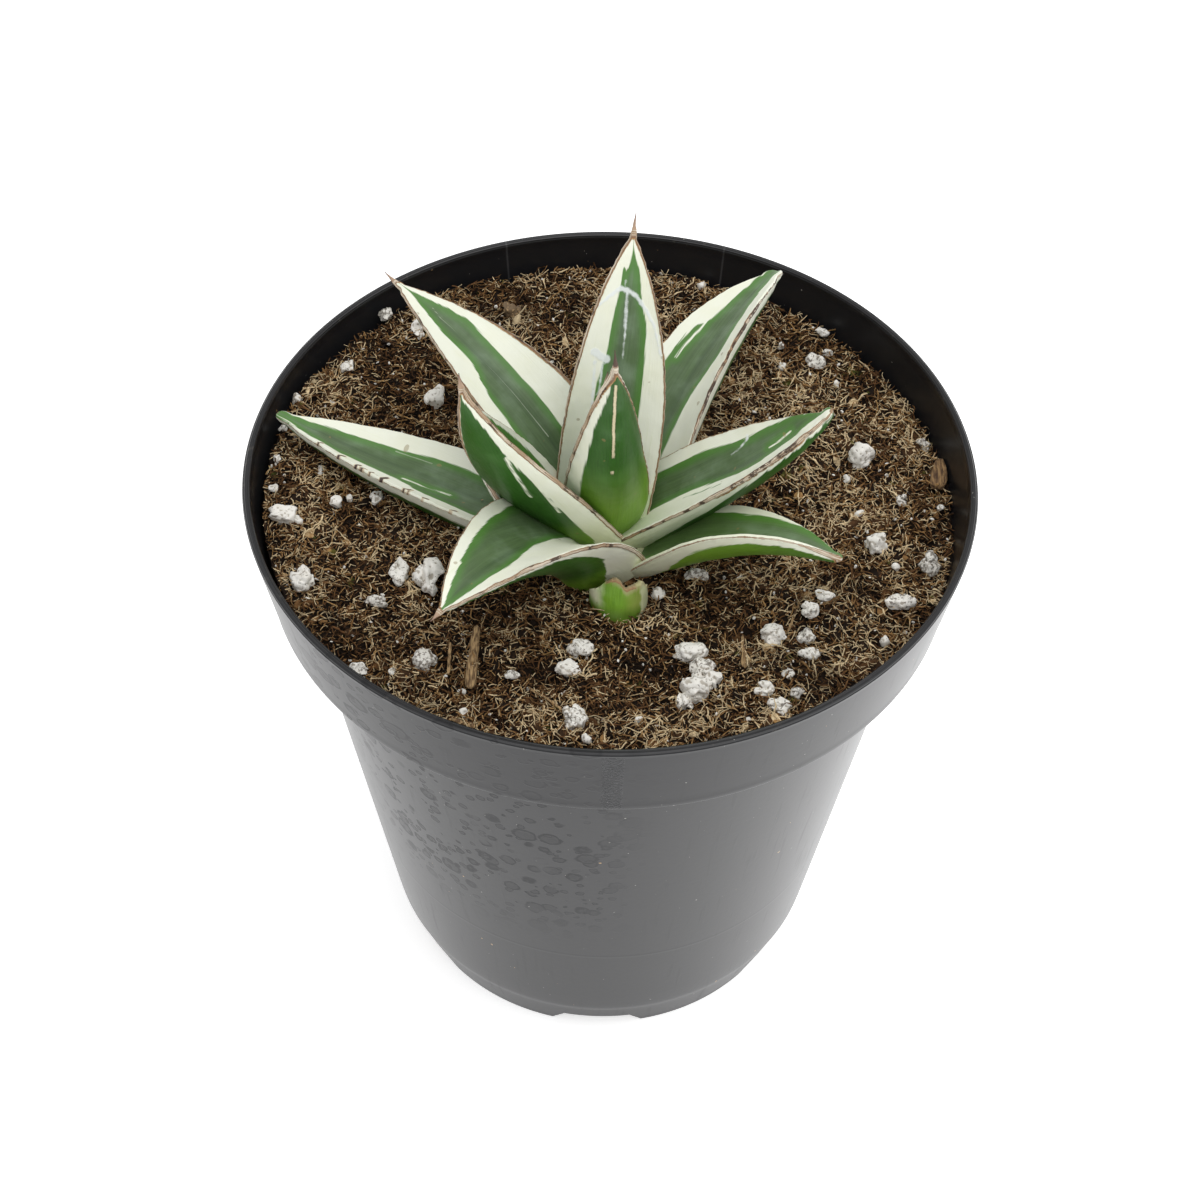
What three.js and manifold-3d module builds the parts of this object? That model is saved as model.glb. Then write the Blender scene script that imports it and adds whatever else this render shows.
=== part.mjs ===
// A potted agave: a young rosette of thick, cream-edged leaves in a black nursery pot,
// in peat soil with perlite. Millimetres, +Z up. The origin is on the pot's axis, on the
// surface that the pot stands on. -Y is the front and +X is the right side.

import * as THREE from 'three';
import { mergeVertices } from 'three/addons/utils/BufferGeometryUtils.js';
import Module from 'manifold-3d';

const wasm = await Module();
wasm.setup();

// ---------------------------------------------------------------- driving dimensions

// Pot, moulded in one piece with a stepped-out collar and a foot ring
const potHeight = 94;
const rimRadius = 52.5;
const wall = 1.1;
const lipRound = 0.5;
const collarHeight = 15.3;
const collarFootRadius = 49.8;
const bodyTopRadius = 45.6;
const heelRadius = 34;
const heelHeight = 7.6;
const footOuterRadius = 31.4;
const footInnerRadius = 27.6;
const floorRise = 3;
const potSides = 60;

// Notches through the foot ring, where the water drains
const notchCount = 6;
const notchAngle = 24;
const notchHeight = 3.4;
const notchSlope = 3;

// Gap that every piece keeps to the next one
const clearance = 0.3;

// Soil
const soilLevel = 87;
const soilTiltX = -0.035;
const soilTiltY = 0.035;
const soilLump = 0.6;
const soilSides = 44;
const soilRings = 8;

// The larger grains of perlite, each by its place and its size
const grains = [
  [-46.5, -6.5, 4.6], [-43, -18.5, 4.2], [-39, -3.5, 2.4], [-39.5, 24, 2.6], [-47, 16, 2.6],
  [-35, 34.5, 3.2], [-30, 33, 3], [-26, 18, 4.2], [-29.5, -16, 4.2], [-25, -17, 6],
  [-32.5, -21.5, 2.8], [-25, -32, 3.8], [-34, -33, 3.2], [-16, 38, 3], [-3.5, -28.5, 3.6],
  [-5, -31.5, 3.4], [-4, -41, 4.4], [7.5, -18, 2.6], [12.5, -14.5, 2.8], [11.5, -28, 5],
  [13.5, -31, 4.4], [12, -35, 5], [11, -37.5, 3], [23, -24.5, 4], [28, -24, 2.8],
  [28, -27, 3], [28.5, -19, 3], [24, -37, 3.2], [22, -33.5, 2.8], [31, 30, 3.2],
  [37, 10.5, 4.8], [38.5, -6.5, 4], [41, -17, 4.4], [46, -9.5, 3.4],
];
const grainSink = 0.22;
const grainSeed = 11;

// A flake of bark by the right wall
const barkPlace = [46, 9.5];
const barkSize = [2.4, 4.4, 1.2];

// Plant: the rosette's axis, its crown and its roots
const plantX = 1.5;
const plantY = -8;
const crownTop = 91.5;
const crownRadius = 5.6;
const crownBase = 83;
const rootDepth = 34;
const rootTip = 0.9;
const sideRoots = 5;
const sideRootLength = 30;
const sideRootRadius = 1.2;

// Leaf section
const marginThickness = 0.75;
const tipThickness = 0.9;
const tipHalfWidth = 0.63;
const thinning = 0.6;
const keelRound = 0.7;
const spineRadius = 0.45;
const spinePoint = 0.12;
const leafStations = 12;
const lineSteps = 40;

// Leaves, from the bud outwards. azimuth is measured from +X towards +Y; out, aside and
// height place the base, rise is the climb at the base and at the tip, bow adds climb in
// the middle, swing turns the leaf sideways and roll twists it (base, middle, tip). taper is
// where the leaf is widest, how wide its base is beside that and how its sides close in
// towards the tip; cup is how far its margins stand up over its channel. Angles in degrees.
const leaves = [
  { name: 'leaf_bud_inner', azimuth: 110, out: 0.6, aside: -1.9, height: 90, length: 28,
    rise: [84, 94], bow: 0, swing: 0, width: 8.6, thickness: 3.4, taper: [0.36, 0.92, 1.7],
    roll: [0, 0, 0], cup: 0.5, spine: 2 },
  { name: 'leaf_bud_outer', azimuth: -79.2, out: 1, aside: 2.3, height: 90, length: 36.8,
    rise: [78, 88], bow: 2.1, swing: 7.2, width: 11.4, thickness: 5, taper: [0.31, 0.86, 2.1],
    roll: [-2, -5, -6], cup: 0.33, spine: 2.6 },
  { name: 'leaf_back', azimuth: 78.1, out: 1.7, aside: -3.1, height: 88.5, length: 42.8,
    rise: [69, 49], bow: 0.3, swing: 4.3, width: 14.3, thickness: 5.2, taper: [0.3, 0.92, 2.2],
    roll: [1, -11, -14], cup: 0.36, spine: 2.4 },
  { name: 'leaf_front_left_inner', azimuth: -149.3, out: 3.4, aside: 1.5, height: 89.3,
    length: 45.5, rise: [49, 80], bow: -3.3, swing: 9.7, width: 13.9, thickness: 2.7,
    taper: [0.31, 0.85, 1.6], roll: [-28, -8, -22], cup: 0.17, spine: 2.4 },
  { name: 'leaf_right_upper', azimuth: -8.9, out: -0.8, aside: -2.7, height: 87.8, length: 40.3,
    rise: [45, 57], bow: -9.2, swing: 0.5, width: 13.7, thickness: 5.7, taper: [0.34, 0.93, 1.9],
    roll: [-1, 1, -4], cup: 0.39, spine: 0.7 },
  { name: 'leaf_left_inner', azimuth: 178.6, out: 4.4, aside: -1.5, height: 87.9, length: 31.8,
    rise: [42, 76], bow: -1.9, swing: -8.3, width: 12.3, thickness: 4.8, taper: [0.39, 0.92, 1.8],
    roll: [3, 3, 18], cup: 0.27, spine: 1.5 },
  { name: 'leaf_back_left', azimuth: 136, out: 4.6, aside: 0.9, height: 88.1, length: 46.4,
    rise: [48, 15], bow: -6.6, swing: 5.4, width: 15.1, thickness: 5.2, taper: [0.36, 0.92, 1.7],
    roll: [1, -2, 0], cup: 0.34, spine: 2 },
  { name: 'leaf_back_right', azimuth: 62.6, out: 7.6, aside: -2.3, height: 87.4, length: 46.5,
    rise: [46, -7], bow: -4.1, swing: -4.7, width: 14.6, thickness: 5.4, taper: [0.4, 0.95, 2.4],
    roll: [-3, 19, 22], cup: 0.4, spine: 0.5 },
  { name: 'leaf_front_left', azimuth: -129.8, out: 4.6, aside: 0.5, height: 87.6, length: 39.5,
    rise: [60, -11], bow: 2.8, swing: 3.3, width: 16.8, thickness: 6.1, taper: [0.38, 0.92, 1.8],
    roll: [-3, -5, 3], cup: 0.43, spine: 1.6 },
  { name: 'leaf_right_lower', azimuth: -24.9, out: 2.8, aside: 0.8, height: 87.2, length: 36.7,
    rise: [40, 4], bow: 8.7, swing: -8.5, width: 12.4, thickness: 4, taper: [0.39, 0.86, 2.1],
    roll: [-13, 6, 35], cup: 0.38, spine: 0.6 },
  { name: 'leaf_left', azimuth: 164.8, out: 5.9, aside: -0.5, height: 86.9, length: 47.9,
    rise: [13, 10], bow: -3.3, swing: -10.2, width: 14.2, thickness: 6.1,
    taper: [0.35, 0.92, 2], roll: [2, -8, -7], cup: 0.33, spine: 0.5 },
];

// The stump of an old leaf that was cut off at the front
const stump = { name: 'leaf_stump', azimuth: -86, out: 7.4, aside: 0, height: 84, length: 34,
  rise: [50, 70], bow: 0, swing: 0, width: 8, thickness: 3.4, taper: [0.36, 0.92, 1.7],
  roll: [0, 0, 0], cup: 0.3, keep: 0.22 };

// ---------------------------------------------------------------- small tools

const radians = THREE.MathUtils.degToRad;
const mix = THREE.MathUtils.lerp;

/** A seeded draw of numbers from 0 to 1. */
function drawer(seed) {
  let state = seed;
  return () => {
    state = (Math.imul(state, 1664525) + 1013904223) >>> 0;
    return state / 4294967296;
  };
}

/** A closed geometry over rings of points, with both ends drawn to a point. */
function skin(rings, startPoint, endPoint) {
  const sides = rings[0].length;
  const points = [startPoint, ...rings.flat(), endPoint];
  const last = points.length - 1;
  const index = [];
  const at = (ring, side) => 1 + ring * sides + (side % sides);
  for (let side = 0; side < sides; side++) {
    index.push(0, at(0, side + 1), at(0, side));
    for (let ring = 0; ring < rings.length - 1; ring++) {
      index.push(at(ring, side), at(ring, side + 1), at(ring + 1, side + 1));
      index.push(at(ring, side), at(ring + 1, side + 1), at(ring + 1, side));
    }
    index.push(last, at(rings.length - 1, side), at(rings.length - 1, side + 1));
  }
  const geometry = new THREE.BufferGeometry();
  geometry.setFromPoints(points);
  geometry.setIndex(index);
  return geometry;
}

/** The solid inside a closed geometry. */
function solid(geometry) {
  const bare = geometry.clone();
  bare.deleteAttribute('normal');
  bare.deleteAttribute('uv');
  const merged = mergeVertices(bare, 1e-4);
  return new wasm.Manifold(new wasm.Mesh({
    numProp: 3,
    vertProperties: new Float32Array(merged.attributes.position.array),
    triVerts: new Uint32Array(merged.index.array),
  }));
}

/** The largest of the bodies that a cut leaves. */
function largest(body) {
  const bodies = body.decompose();
  return bodies.reduce((best, next) => (next.volume() > best.volume() ? next : best));
}

/** A named mesh of a solid. */
function piece(name, body, material) {
  const { vertProperties, triVerts } = body.getMesh();
  const geometry = new THREE.BufferGeometry();
  geometry.setAttribute('position', new THREE.BufferAttribute(vertProperties, 3));
  geometry.setIndex(new THREE.BufferAttribute(triVerts, 1));
  geometry.computeVertexNormals();
  const mesh = new THREE.Mesh(geometry, material);
  mesh.name = name;
  return mesh;
}

/** A ring of a turned solid, for the given radius and height at each angle. */
function turnedRing(sides, radius, height) {
  return Array.from({ length: sides }, (_, side) => {
    const angle = (2 * Math.PI * side) / sides;
    const x = radius * Math.cos(angle);
    const y = radius * Math.sin(angle);
    return new THREE.Vector3(x, y, typeof height === 'function' ? height(x, y) : height);
  });
}

// ---------------------------------------------------------------- pot

const collarFoot = potHeight - collarHeight;
const floorTop = floorRise + wall;
const lipInnerRadius = rimRadius - wall;

/** The inside of the pot, from the middle of its floor to its lip. */
const potInside = [
  [0, floorTop],
  [footInnerRadius - 2, floorTop],
  [footInnerRadius, wall],
  [footOuterRadius - wall, wall],
  [heelRadius - wall, heelHeight],
  [bodyTopRadius - wall, collarFoot + wall],
  [collarFootRadius - wall, collarFoot + wall],
  [lipInnerRadius, potHeight - lipRound],
];

/** The outside of the pot, from its lip to the middle of its underside. */
const potOutside = [
  [rimRadius - wall + 0.35, potHeight],
  [rimRadius - 0.4, potHeight],
  [rimRadius, potHeight - lipRound],
  [collarFootRadius, collarFoot + 0.4],
  [collarFootRadius - 0.4, collarFoot],
  [bodyTopRadius, collarFoot],
  [heelRadius, heelHeight],
  [footOuterRadius, 0.4],
  [footOuterRadius - 0.4, 0],
  [footInnerRadius + 0.4 - wall, 0],
  [footInnerRadius - 2 - wall, floorRise],
  [0, floorRise],
];

/** A wedge that cuts one notch, wider at the bottom than at the top. */
function notchCutter() {
  const half = radians(notchAngle / 2);
  const inner = footInnerRadius - 3.2;
  const outer = heelRadius + 2;
  const sectionAt = (radius) => [
    [-half * radius - notchSlope / 2, -1],
    [half * radius + notchSlope / 2, -1],
    [half * radius - notchSlope / 2, notchHeight],
    [-half * radius + notchSlope / 2, notchHeight],
  ].map(([side, height]) => new THREE.Vector3(side, -radius, height));
  const middle = (radius) => new THREE.Vector3(0, -radius, notchHeight / 2);
  return solid(skin([sectionAt(inner), sectionAt(outer)], middle(inner), middle(outer)));
}

function makePot(material) {
  const profile = [...potOutside].reverse().concat([...potInside].reverse());
  const outline = profile.map(([radius, height]) => new THREE.Vector2(radius, height));
  const shell = new THREE.LatheGeometry(outline, potSides);
  shell.rotateX(Math.PI / 2);
  let body = solid(shell);
  for (let notch = 0; notch < notchCount; notch++) {
    body = body.subtract(notchCutter().rotate([0, 0, (360 * notch) / notchCount]));
  }
  return piece('pot', body, material);
}

// ---------------------------------------------------------------- plant

/** Width of a leaf along its length, as a share of its greatest width. */
function leafOutline([widest, base, closing], t) {
  if (t < widest) {
    return mix(base, 1, Math.sin((t / widest) * (Math.PI / 2)));
  }
  return 1 - ((t - widest) / (1 - widest)) ** closing;
}

/** A value that runs from first to last, with a bulge in the middle. */
function bowed(first, middle, last, t) {
  return mix(first, last, t) + middle * 4 * t * (1 - t);
}

/** The leaf's frame at t: how it points, its side and the way its channel faces. */
function leafFrame(leaf, t) {
  const climb = radians(bowed(leaf.rise[0], leaf.bow, leaf.rise[1], t));
  const heading = radians(leaf.azimuth + leaf.swing * t);
  const along = new THREE.Vector3(
    Math.cos(heading) * Math.cos(climb), Math.sin(heading) * Math.cos(climb), Math.sin(climb));
  const side = new THREE.Vector3(Math.sin(heading), -Math.cos(heading), 0);
  const up = side.clone().cross(along);
  const turn = radians(bowed(...leaf.roll, t));
  const rolledSide = side.clone().multiplyScalar(Math.cos(turn)).addScaledVector(up, Math.sin(turn));
  const rolledUp = up.multiplyScalar(Math.cos(turn)).addScaledVector(side, -Math.sin(turn));
  return { along, side: rolledSide, up: rolledUp };
}

/** Points down the middle of a leaf's channel, with its frame at each of them. */
function leafLine(leaf) {
  const heading = radians(leaf.azimuth);
  const point = new THREE.Vector3(
    plantX + leaf.out * Math.cos(heading) + leaf.aside * Math.sin(heading),
    plantY + leaf.out * Math.sin(heading) - leaf.aside * Math.cos(heading),
    leaf.height);
  const line = [{ point: point.clone(), ...leafFrame(leaf, 0) }];
  for (let step = 0; step < lineSteps; step++) {
    const { along } = leafFrame(leaf, (step + 0.5) / lineSteps);
    point.addScaledVector(along, leaf.length / lineSteps);
    line.push({ point: point.clone(), ...leafFrame(leaf, (step + 1) / lineSteps) });
  }
  return line;
}

/** A section of a leaf: a channel above, a rounded keel below and thick margins. */
function leafSection(halfWidth, thickness, cup, grow) {
  const topAt = (s) => cup * Math.max(0, halfWidth - tipThickness) * Math.abs(s) ** 1.5;
  const bottomAt = (s) => topAt(s) - marginThickness
    - (thickness - marginThickness) * (1 - s * s) ** keelRound;
  const upper = [-0.8, -0.4, 0, 0.4, 0.8].map((s) => [s * halfWidth, topAt(s) + grow]);
  const lower = [0.75, 0.38, 0, -0.38, -0.75].map((s) => [s * halfWidth, bottomAt(s) - grow]);
  const edge = halfWidth + grow;
  const top = topAt(1) + grow;
  const bottom = topAt(1) - marginThickness - grow;
  const right = [[edge - 0.12, top], [edge, (top + bottom) / 2], [edge - 0.15, bottom]];
  const left = right.map(([side, height]) => [-side, height]).reverse();
  return [...upper, ...right, ...lower, ...left];
}

/** A round section with as many points as a leaf's, for the spine at its tip. */
function spineSection(radius, count) {
  const first = Math.PI * 0.75;
  return Array.from({ length: count }, (_, place) => {
    const angle = first - (2 * Math.PI * place) / count;
    return [radius * Math.cos(angle), radius * Math.sin(angle) - tipThickness / 2];
  });
}

/** One leaf with its spine or, with grow, the room that it needs. */
function leafSolid(leaf, grow = 0) {
  const line = leafLine(leaf);
  const keep = leaf.keep ?? 1;
  const placed = (place, section, ahead = 0) => section.map(([side, height]) => (
    place.point.clone().addScaledVector(place.side, side).addScaledVector(place.up, height)
      .addScaledVector(place.along, ahead)));
  const rings = [];
  for (let station = 0; station < leafStations; station++) {
    const t = keep * Math.sin((station / (leafStations - 0.4)) * (Math.PI / 2));
    const place = line[Math.round(t * lineSteps)];
    const halfWidth = Math.max((leaf.width / 2) * leafOutline(leaf.taper, t), tipHalfWidth);
    const thickness = mix(tipThickness, leaf.thickness, (1 - t) ** thinning);
    rings.push(placed(place, leafSection(halfWidth, thickness, leaf.cup, grow)));
  }
  const foot = line[0].point.clone()
    .addScaledVector(line[0].along, -grow).addScaledVector(line[0].up, -leaf.thickness / 2);
  const end = line[Math.round(keep * lineSteps)];
  const tip = end.point.clone().addScaledVector(end.up, -tipThickness / 2);
  if (leaf.spine) {
    const count = rings[0].length;
    rings.push(placed(end, spineSection(spineRadius + grow, count)));
    rings.push(placed(end, spineSection(spinePoint + grow, count), leaf.spine));
    tip.addScaledVector(end.along, leaf.spine + spinePoint + grow);
  }
  return solid(skin(rings, foot, tip));
}

/** A round root or stem through the given points, with a radius at each end. */
function limb(points, startRadius, endRadius, sides, steps) {
  const curve = new THREE.CatmullRomCurve3(points);
  const frames = curve.computeFrenetFrames(steps);
  const rings = frames.tangents.map((_, step) => {
    const middle = curve.getPointAt(step / steps);
    const radius = mix(startRadius, endRadius, step / steps);
    return Array.from({ length: sides }, (__, side) => {
      const angle = (2 * Math.PI * side) / sides;
      return middle.clone()
        .addScaledVector(frames.normals[step], radius * Math.cos(angle))
        .addScaledVector(frames.binormals[step], radius * Math.sin(angle));
    });
  });
  return solid(skin(rings, curve.getPointAt(0), curve.getPointAt(1)));
}

/** The crown with its tap root and side roots or, with grow, the hole that they need. */
function stemSolid(grow = 0) {
  const outline = [
    [0, crownBase - rootDepth - grow],
    [rootTip + grow, crownBase - rootDepth - grow],
    [2 + grow, crownBase - rootDepth / 2],
    [crownRadius - 1.4 + grow, crownBase - 3],
    [crownRadius + grow, crownBase + 1],
    [crownRadius - 0.6 + grow, crownBase + 4],
    [crownRadius - 2.6 + grow, crownTop - 1.4 + grow],
    [0, crownTop + grow],
  ].map(([radius, height]) => new THREE.Vector2(radius, height));
  const crown = new THREE.LatheGeometry(outline, 16);
  crown.rotateX(Math.PI / 2);
  crown.translate(plantX, plantY, 0);
  let body = solid(crown);
  for (let root = 0; root < sideRoots; root++) {
    const angle = (2 * Math.PI * (root + 0.3)) / sideRoots;
    const start = crownBase - 5 - 4 * (root % 3);
    const reach = (share, drop) => new THREE.Vector3(
      plantX + share * sideRootLength * Math.cos(angle + 0.3 * share),
      plantY + share * sideRootLength * Math.sin(angle + 0.3 * share), start - drop);
    const route = [reach(0.04, 0), reach(0.4, 4), reach(0.75, 13), reach(0.9, 24)];
    const sideRoot = limb(route, sideRootRadius + grow, rootTip / 2 + grow, 6, 8);
    body = body.add(sideRoot);
  }
  return body;
}

// ---------------------------------------------------------------- soil

/** Height of the soil's surface, before the grains that stand in it. */
function soilTop(x, y) {
  const lumps = Math.sin(0.42 * x + 1.3) * Math.cos(0.36 * y - 0.4)
    + 0.6 * Math.sin(0.83 * x - 0.7 * y) + 0.4 * Math.cos(1.1 * y + 0.5 * x);
  return soilLevel + soilTiltX * x + soilTiltY * y + (soilLump * lumps) / 2;
}

/** The soil as it fills the pot. */
function soilFill() {
  const ledge = collarFoot + wall + clearance;
  const side = collarFootRadius - wall - clearance;
  const below = [
    [footInnerRadius - 2 + clearance / 2, floorTop + clearance],
    [footInnerRadius + clearance / 2, wall + clearance],
    [footOuterRadius - wall - clearance / 2, wall + clearance],
    [heelRadius - wall - clearance, heelHeight],
    [bodyTopRadius - wall - clearance, ledge],
    [side, ledge],
  ];
  const rings = below.map(([radius, height]) => turnedRing(soilSides, radius, height));
  for (let ring = 0; ring < soilRings; ring++) {
    rings.push(turnedRing(soilSides, (side + 0.7) * (1 - ring / soilRings), soilTop));
  }
  return solid(skin(rings, new THREE.Vector3(0, 0, floorTop + clearance),
    new THREE.Vector3(0, 0, soilTop(0, 0))));
}

/** One grain of perlite: a rough lump that is sunk in the soil. */
function grainSolid([x, y, size], draw) {
  const lump = new THREE.IcosahedronGeometry(size / 2, 0);
  lump.scale(1 + 0.3 * draw(), 1 - 0.2 * draw(), 0.85 + 0.2 * draw());
  lump.rotateX(2 * Math.PI * draw());
  lump.rotateZ(2 * Math.PI * draw());
  lump.translate(x, y, soilTop(x, y) + size * grainSink);
  return solid(lump);
}

function barkSolid() {
  const flake = new THREE.BoxGeometry(...barkSize);
  flake.rotateX(0.35);
  flake.rotateZ(0.3);
  flake.translate(...barkPlace, soilTop(...barkPlace) + barkSize[2] / 2);
  return solid(flake);
}

// ---------------------------------------------------------------- the assembly

const black = new THREE.MeshStandardMaterial({ color: 0x1c1d1f, roughness: 0.35, metalness: 0 });
const peat = new THREE.MeshStandardMaterial({ color: 0x4a3420, roughness: 1, metalness: 0 });
const flesh = new THREE.MeshStandardMaterial({ color: 0xc9cf9a, roughness: 0.7, metalness: 0 });
const green = new THREE.MeshStandardMaterial({ color: 0x3c6a34, roughness: 0.5, metalness: 0 });

const plant = new THREE.Group();
const stem = stemSolid();
plant.add(piece('stem', stem, flesh));

let taken = stemSolid(clearance);
for (const leaf of [...leaves, stump]) {
  plant.add(piece(leaf.name, largest(leafSolid(leaf).subtract(taken)), green));
  taken = taken.add(leafSolid(leaf, clearance));
}

const draw = drawer(grainSeed);
let soil = soilFill().add(barkSolid());
for (const grain of grains) {
  soil = soil.add(grainSolid(grain, draw));
}
soil = largest(soil.subtract(taken));

const pottedAgave = new THREE.Group();
pottedAgave.add(makePot(black), piece('soil', soil, peat), plant);

export default pottedAgave;
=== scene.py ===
"""Dresses the potted agave: black nursery pot, peat with perlite and a young rosette."""

import math

import bmesh
import bpy
import numpy as np
from bpy.props import FloatProperty, FloatVectorProperty, IntProperty, PointerProperty
from mathutils import Matrix, Vector


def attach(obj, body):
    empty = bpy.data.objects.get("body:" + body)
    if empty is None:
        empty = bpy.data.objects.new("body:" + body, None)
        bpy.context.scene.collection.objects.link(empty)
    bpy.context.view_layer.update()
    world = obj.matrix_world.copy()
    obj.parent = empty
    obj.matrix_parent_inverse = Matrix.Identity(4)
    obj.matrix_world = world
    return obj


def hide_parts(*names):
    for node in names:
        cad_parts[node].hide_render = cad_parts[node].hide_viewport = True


bl_info = {
    "name": "Potted agave",
    "version": (1, 0, 0),
    "blender": (4, 5, 0),
    "location": "3D View > Sidebar > Agave",
    "description": "Dresses the packed model of a potted agave and sets its stage",
    "category": "Object",
}

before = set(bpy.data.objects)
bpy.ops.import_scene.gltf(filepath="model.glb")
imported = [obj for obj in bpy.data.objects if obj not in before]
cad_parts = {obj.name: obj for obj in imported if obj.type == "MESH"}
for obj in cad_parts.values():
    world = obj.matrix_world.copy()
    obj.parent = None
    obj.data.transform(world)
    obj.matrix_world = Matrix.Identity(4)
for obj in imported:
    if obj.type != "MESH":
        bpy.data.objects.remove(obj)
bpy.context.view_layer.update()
BODY = "root"
MM = 0.001

# ------------------------------------------------------------------ colours


def paint(code):
    """A colour from its hex code, as the shaders take it."""
    parts = [int(code[place:place + 2], 16) / 255 for place in (1, 3, 5)]
    return [part / 12.92 if part <= 0.04045 else ((part + 0.055) / 1.055) ** 2.4
            for part in parts]


def dimmed(colour, share):
    """A colour with the given share of its light."""
    return [part * share for part in colour]


def opaque(colour):
    """A colour, or its hex code, with its alpha."""
    colour = paint(colour) if isinstance(colour, str) else colour
    return (*colour[:3], 1.0)


# ------------------------------------------------------------------ node writing


class Wire:
    """One socket of a node tree: an expression on it adds its Math nodes."""

    def __init__(self, tree, socket=None, owner=None):
        self.tree = tree
        self.socket = socket
        self.owner = owner

    def node(self, kind, settings=None, inputs=None, output=0):
        """Adds a node: its settings first, then the values and links of its sockets."""
        made = self.tree.nodes.new(kind)
        for name, value in (settings or {}).items():
            if name == "stops":
                ramp = made.color_ramp
                while len(ramp.elements) < len(value):
                    ramp.elements.new(1.0)
                for element, (place, colour) in zip(ramp.elements, value):
                    element.position = place
                    element.color = opaque(colour)
            else:
                setattr(made, name, value)
        for name, value in (inputs or {}).items():
            if isinstance(value, Wire):
                self.tree.links.new(value.socket, made.inputs[name])
            else:
                made.inputs[name].default_value = value
        return Wire(self.tree, made.outputs[output] if made.outputs else None, made)

    def other(self, output):
        """Another output of the node that this socket belongs to."""
        return Wire(self.tree, self.owner.outputs[output], self.owner)

    def reckon(self, operation, *values):
        return self.node("ShaderNodeMath", {"operation": operation}, dict(enumerate(values)))

    def __add__(self, value):
        return self.reckon("ADD", self, value)

    def __sub__(self, value):
        return self.reckon("SUBTRACT", self, value)

    def __rsub__(self, value):
        return self.reckon("SUBTRACT", value, self)

    def __mul__(self, value):
        return self.reckon("MULTIPLY", self, value)

    def __truediv__(self, value):
        return self.reckon("DIVIDE", self, value)

    def __pow__(self, value):
        return self.reckon("POWER", self, value)

    __radd__ = __add__
    __rmul__ = __mul__


def most(value, *others):
    """The highest of several values."""
    for other in others:
        value = value.reckon("MAXIMUM", value, other)
    return value


def apart(value, centre):
    """How far a value is from a number."""
    return ((value - centre) ** 2.0) ** 0.5


def fade(value, start, end):
    """0 before start, 1 after end and smooth between."""
    return value.node("ShaderNodeMapRange", {"interpolation_type": "SMOOTHSTEP"},
                      {0: value, 1: start, 2: end, 3: 0.0, 4: 1.0})


def band(value, start, full, last, end):
    """1 from full to last, 0 before start and after end, and smooth between."""
    return fade(value, start, full) * (1 - fade(value, last, end))


def blend(share, first, second):
    """Two colours mixed by a share of the second."""
    colours = {0: share, 6: first, 7: second}
    for place in (6, 7):
        if not isinstance(colours[place], Wire):
            colours[place] = opaque(colours[place])
    return share.node("ShaderNodeMix", {"data_type": "RGBA"}, colours, output=2)


def layered(colour, *layers):
    """A colour with others laid over it in turn, each by its share."""
    for share, over in layers:
        colour = blend(share, colour, over)
    return colour


def noise(place, size, detail=3.0, roughness=0.55):
    """Smooth noise from 0 to 1 whose features are of the given size."""
    return place.node("ShaderNodeTexNoise", {}, {
        "Vector": place, "Scale": 1.0 / size, "Detail": detail, "Roughness": roughness})


def joined(x, y, z):
    """A vector of three values."""
    first = next(value for value in (x, y, z) if isinstance(value, Wire))
    return first.node("ShaderNodeCombineXYZ", {}, {0: x, 1: y, 2: z})


def stored(wires, name):
    """A number that the mesh stores at each point."""
    return wires.node("ShaderNodeAttribute", {"attribute_name": name}, output=2)


def object_place(wires):
    return wires.node("ShaderNodeTexCoord", output=3)


def split(place):
    """The three parts of a vector."""
    x = place.node("ShaderNodeSeparateXYZ", {}, {0: place})
    return x, x.other(1), x.other(2)


def new_material(name):
    material = bpy.data.materials.new(name)
    material.use_nodes = True
    material.node_tree.nodes.clear()
    return material, Wire(material.node_tree)


def close_material(wires, colour, roughness, height=None, depth=None, **sockets):
    """Ends a material in its shader; height is the relief and depth its size in metres."""
    inputs = {"Base Color": colour, "Roughness": roughness}
    inputs.update({name.replace("_", " "): value for name, value in sockets.items()})
    if height is not None:
        inputs["Normal"] = wires.node("ShaderNodeBump", {}, {
            "Strength": 1.0, "Distance": depth, "Height": height})
    shader = wires.node("ShaderNodeBsdfPrincipled", {}, inputs)
    wires.node("ShaderNodeOutputMaterial", {}, {"Surface": shader})


# ------------------------------------------------------------------ mesh writing


def mesh_from(name, points, faces, values=None):
    """A smooth mesh from points in millimetres, with numbers stored at its points."""
    mesh = bpy.data.meshes.new(name)
    mesh.from_pydata((np.asarray(points, dtype=float) * MM).tolist(), [], faces)
    for key, numbers in (values or {}).items():
        layer = mesh.attributes.new(key, "FLOAT", "POINT")
        layer.data.foreach_set("value", np.asarray(numbers, dtype=np.float32).ravel())
    mesh.shade_smooth()
    mesh.update()
    return mesh


def add_object(name, data):
    made = bpy.data.objects.new(name, data)
    bpy.context.scene.collection.objects.link(made)
    return made


def place_piece(mesh, name, material, nodes=()):
    """Puts a finished mesh in the scene as a piece that rides on the body."""
    piece = add_object(name, mesh)
    mesh.materials.clear()
    mesh.materials.append(material)
    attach(piece, BODY)
    if nodes:
        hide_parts(*nodes)


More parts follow.
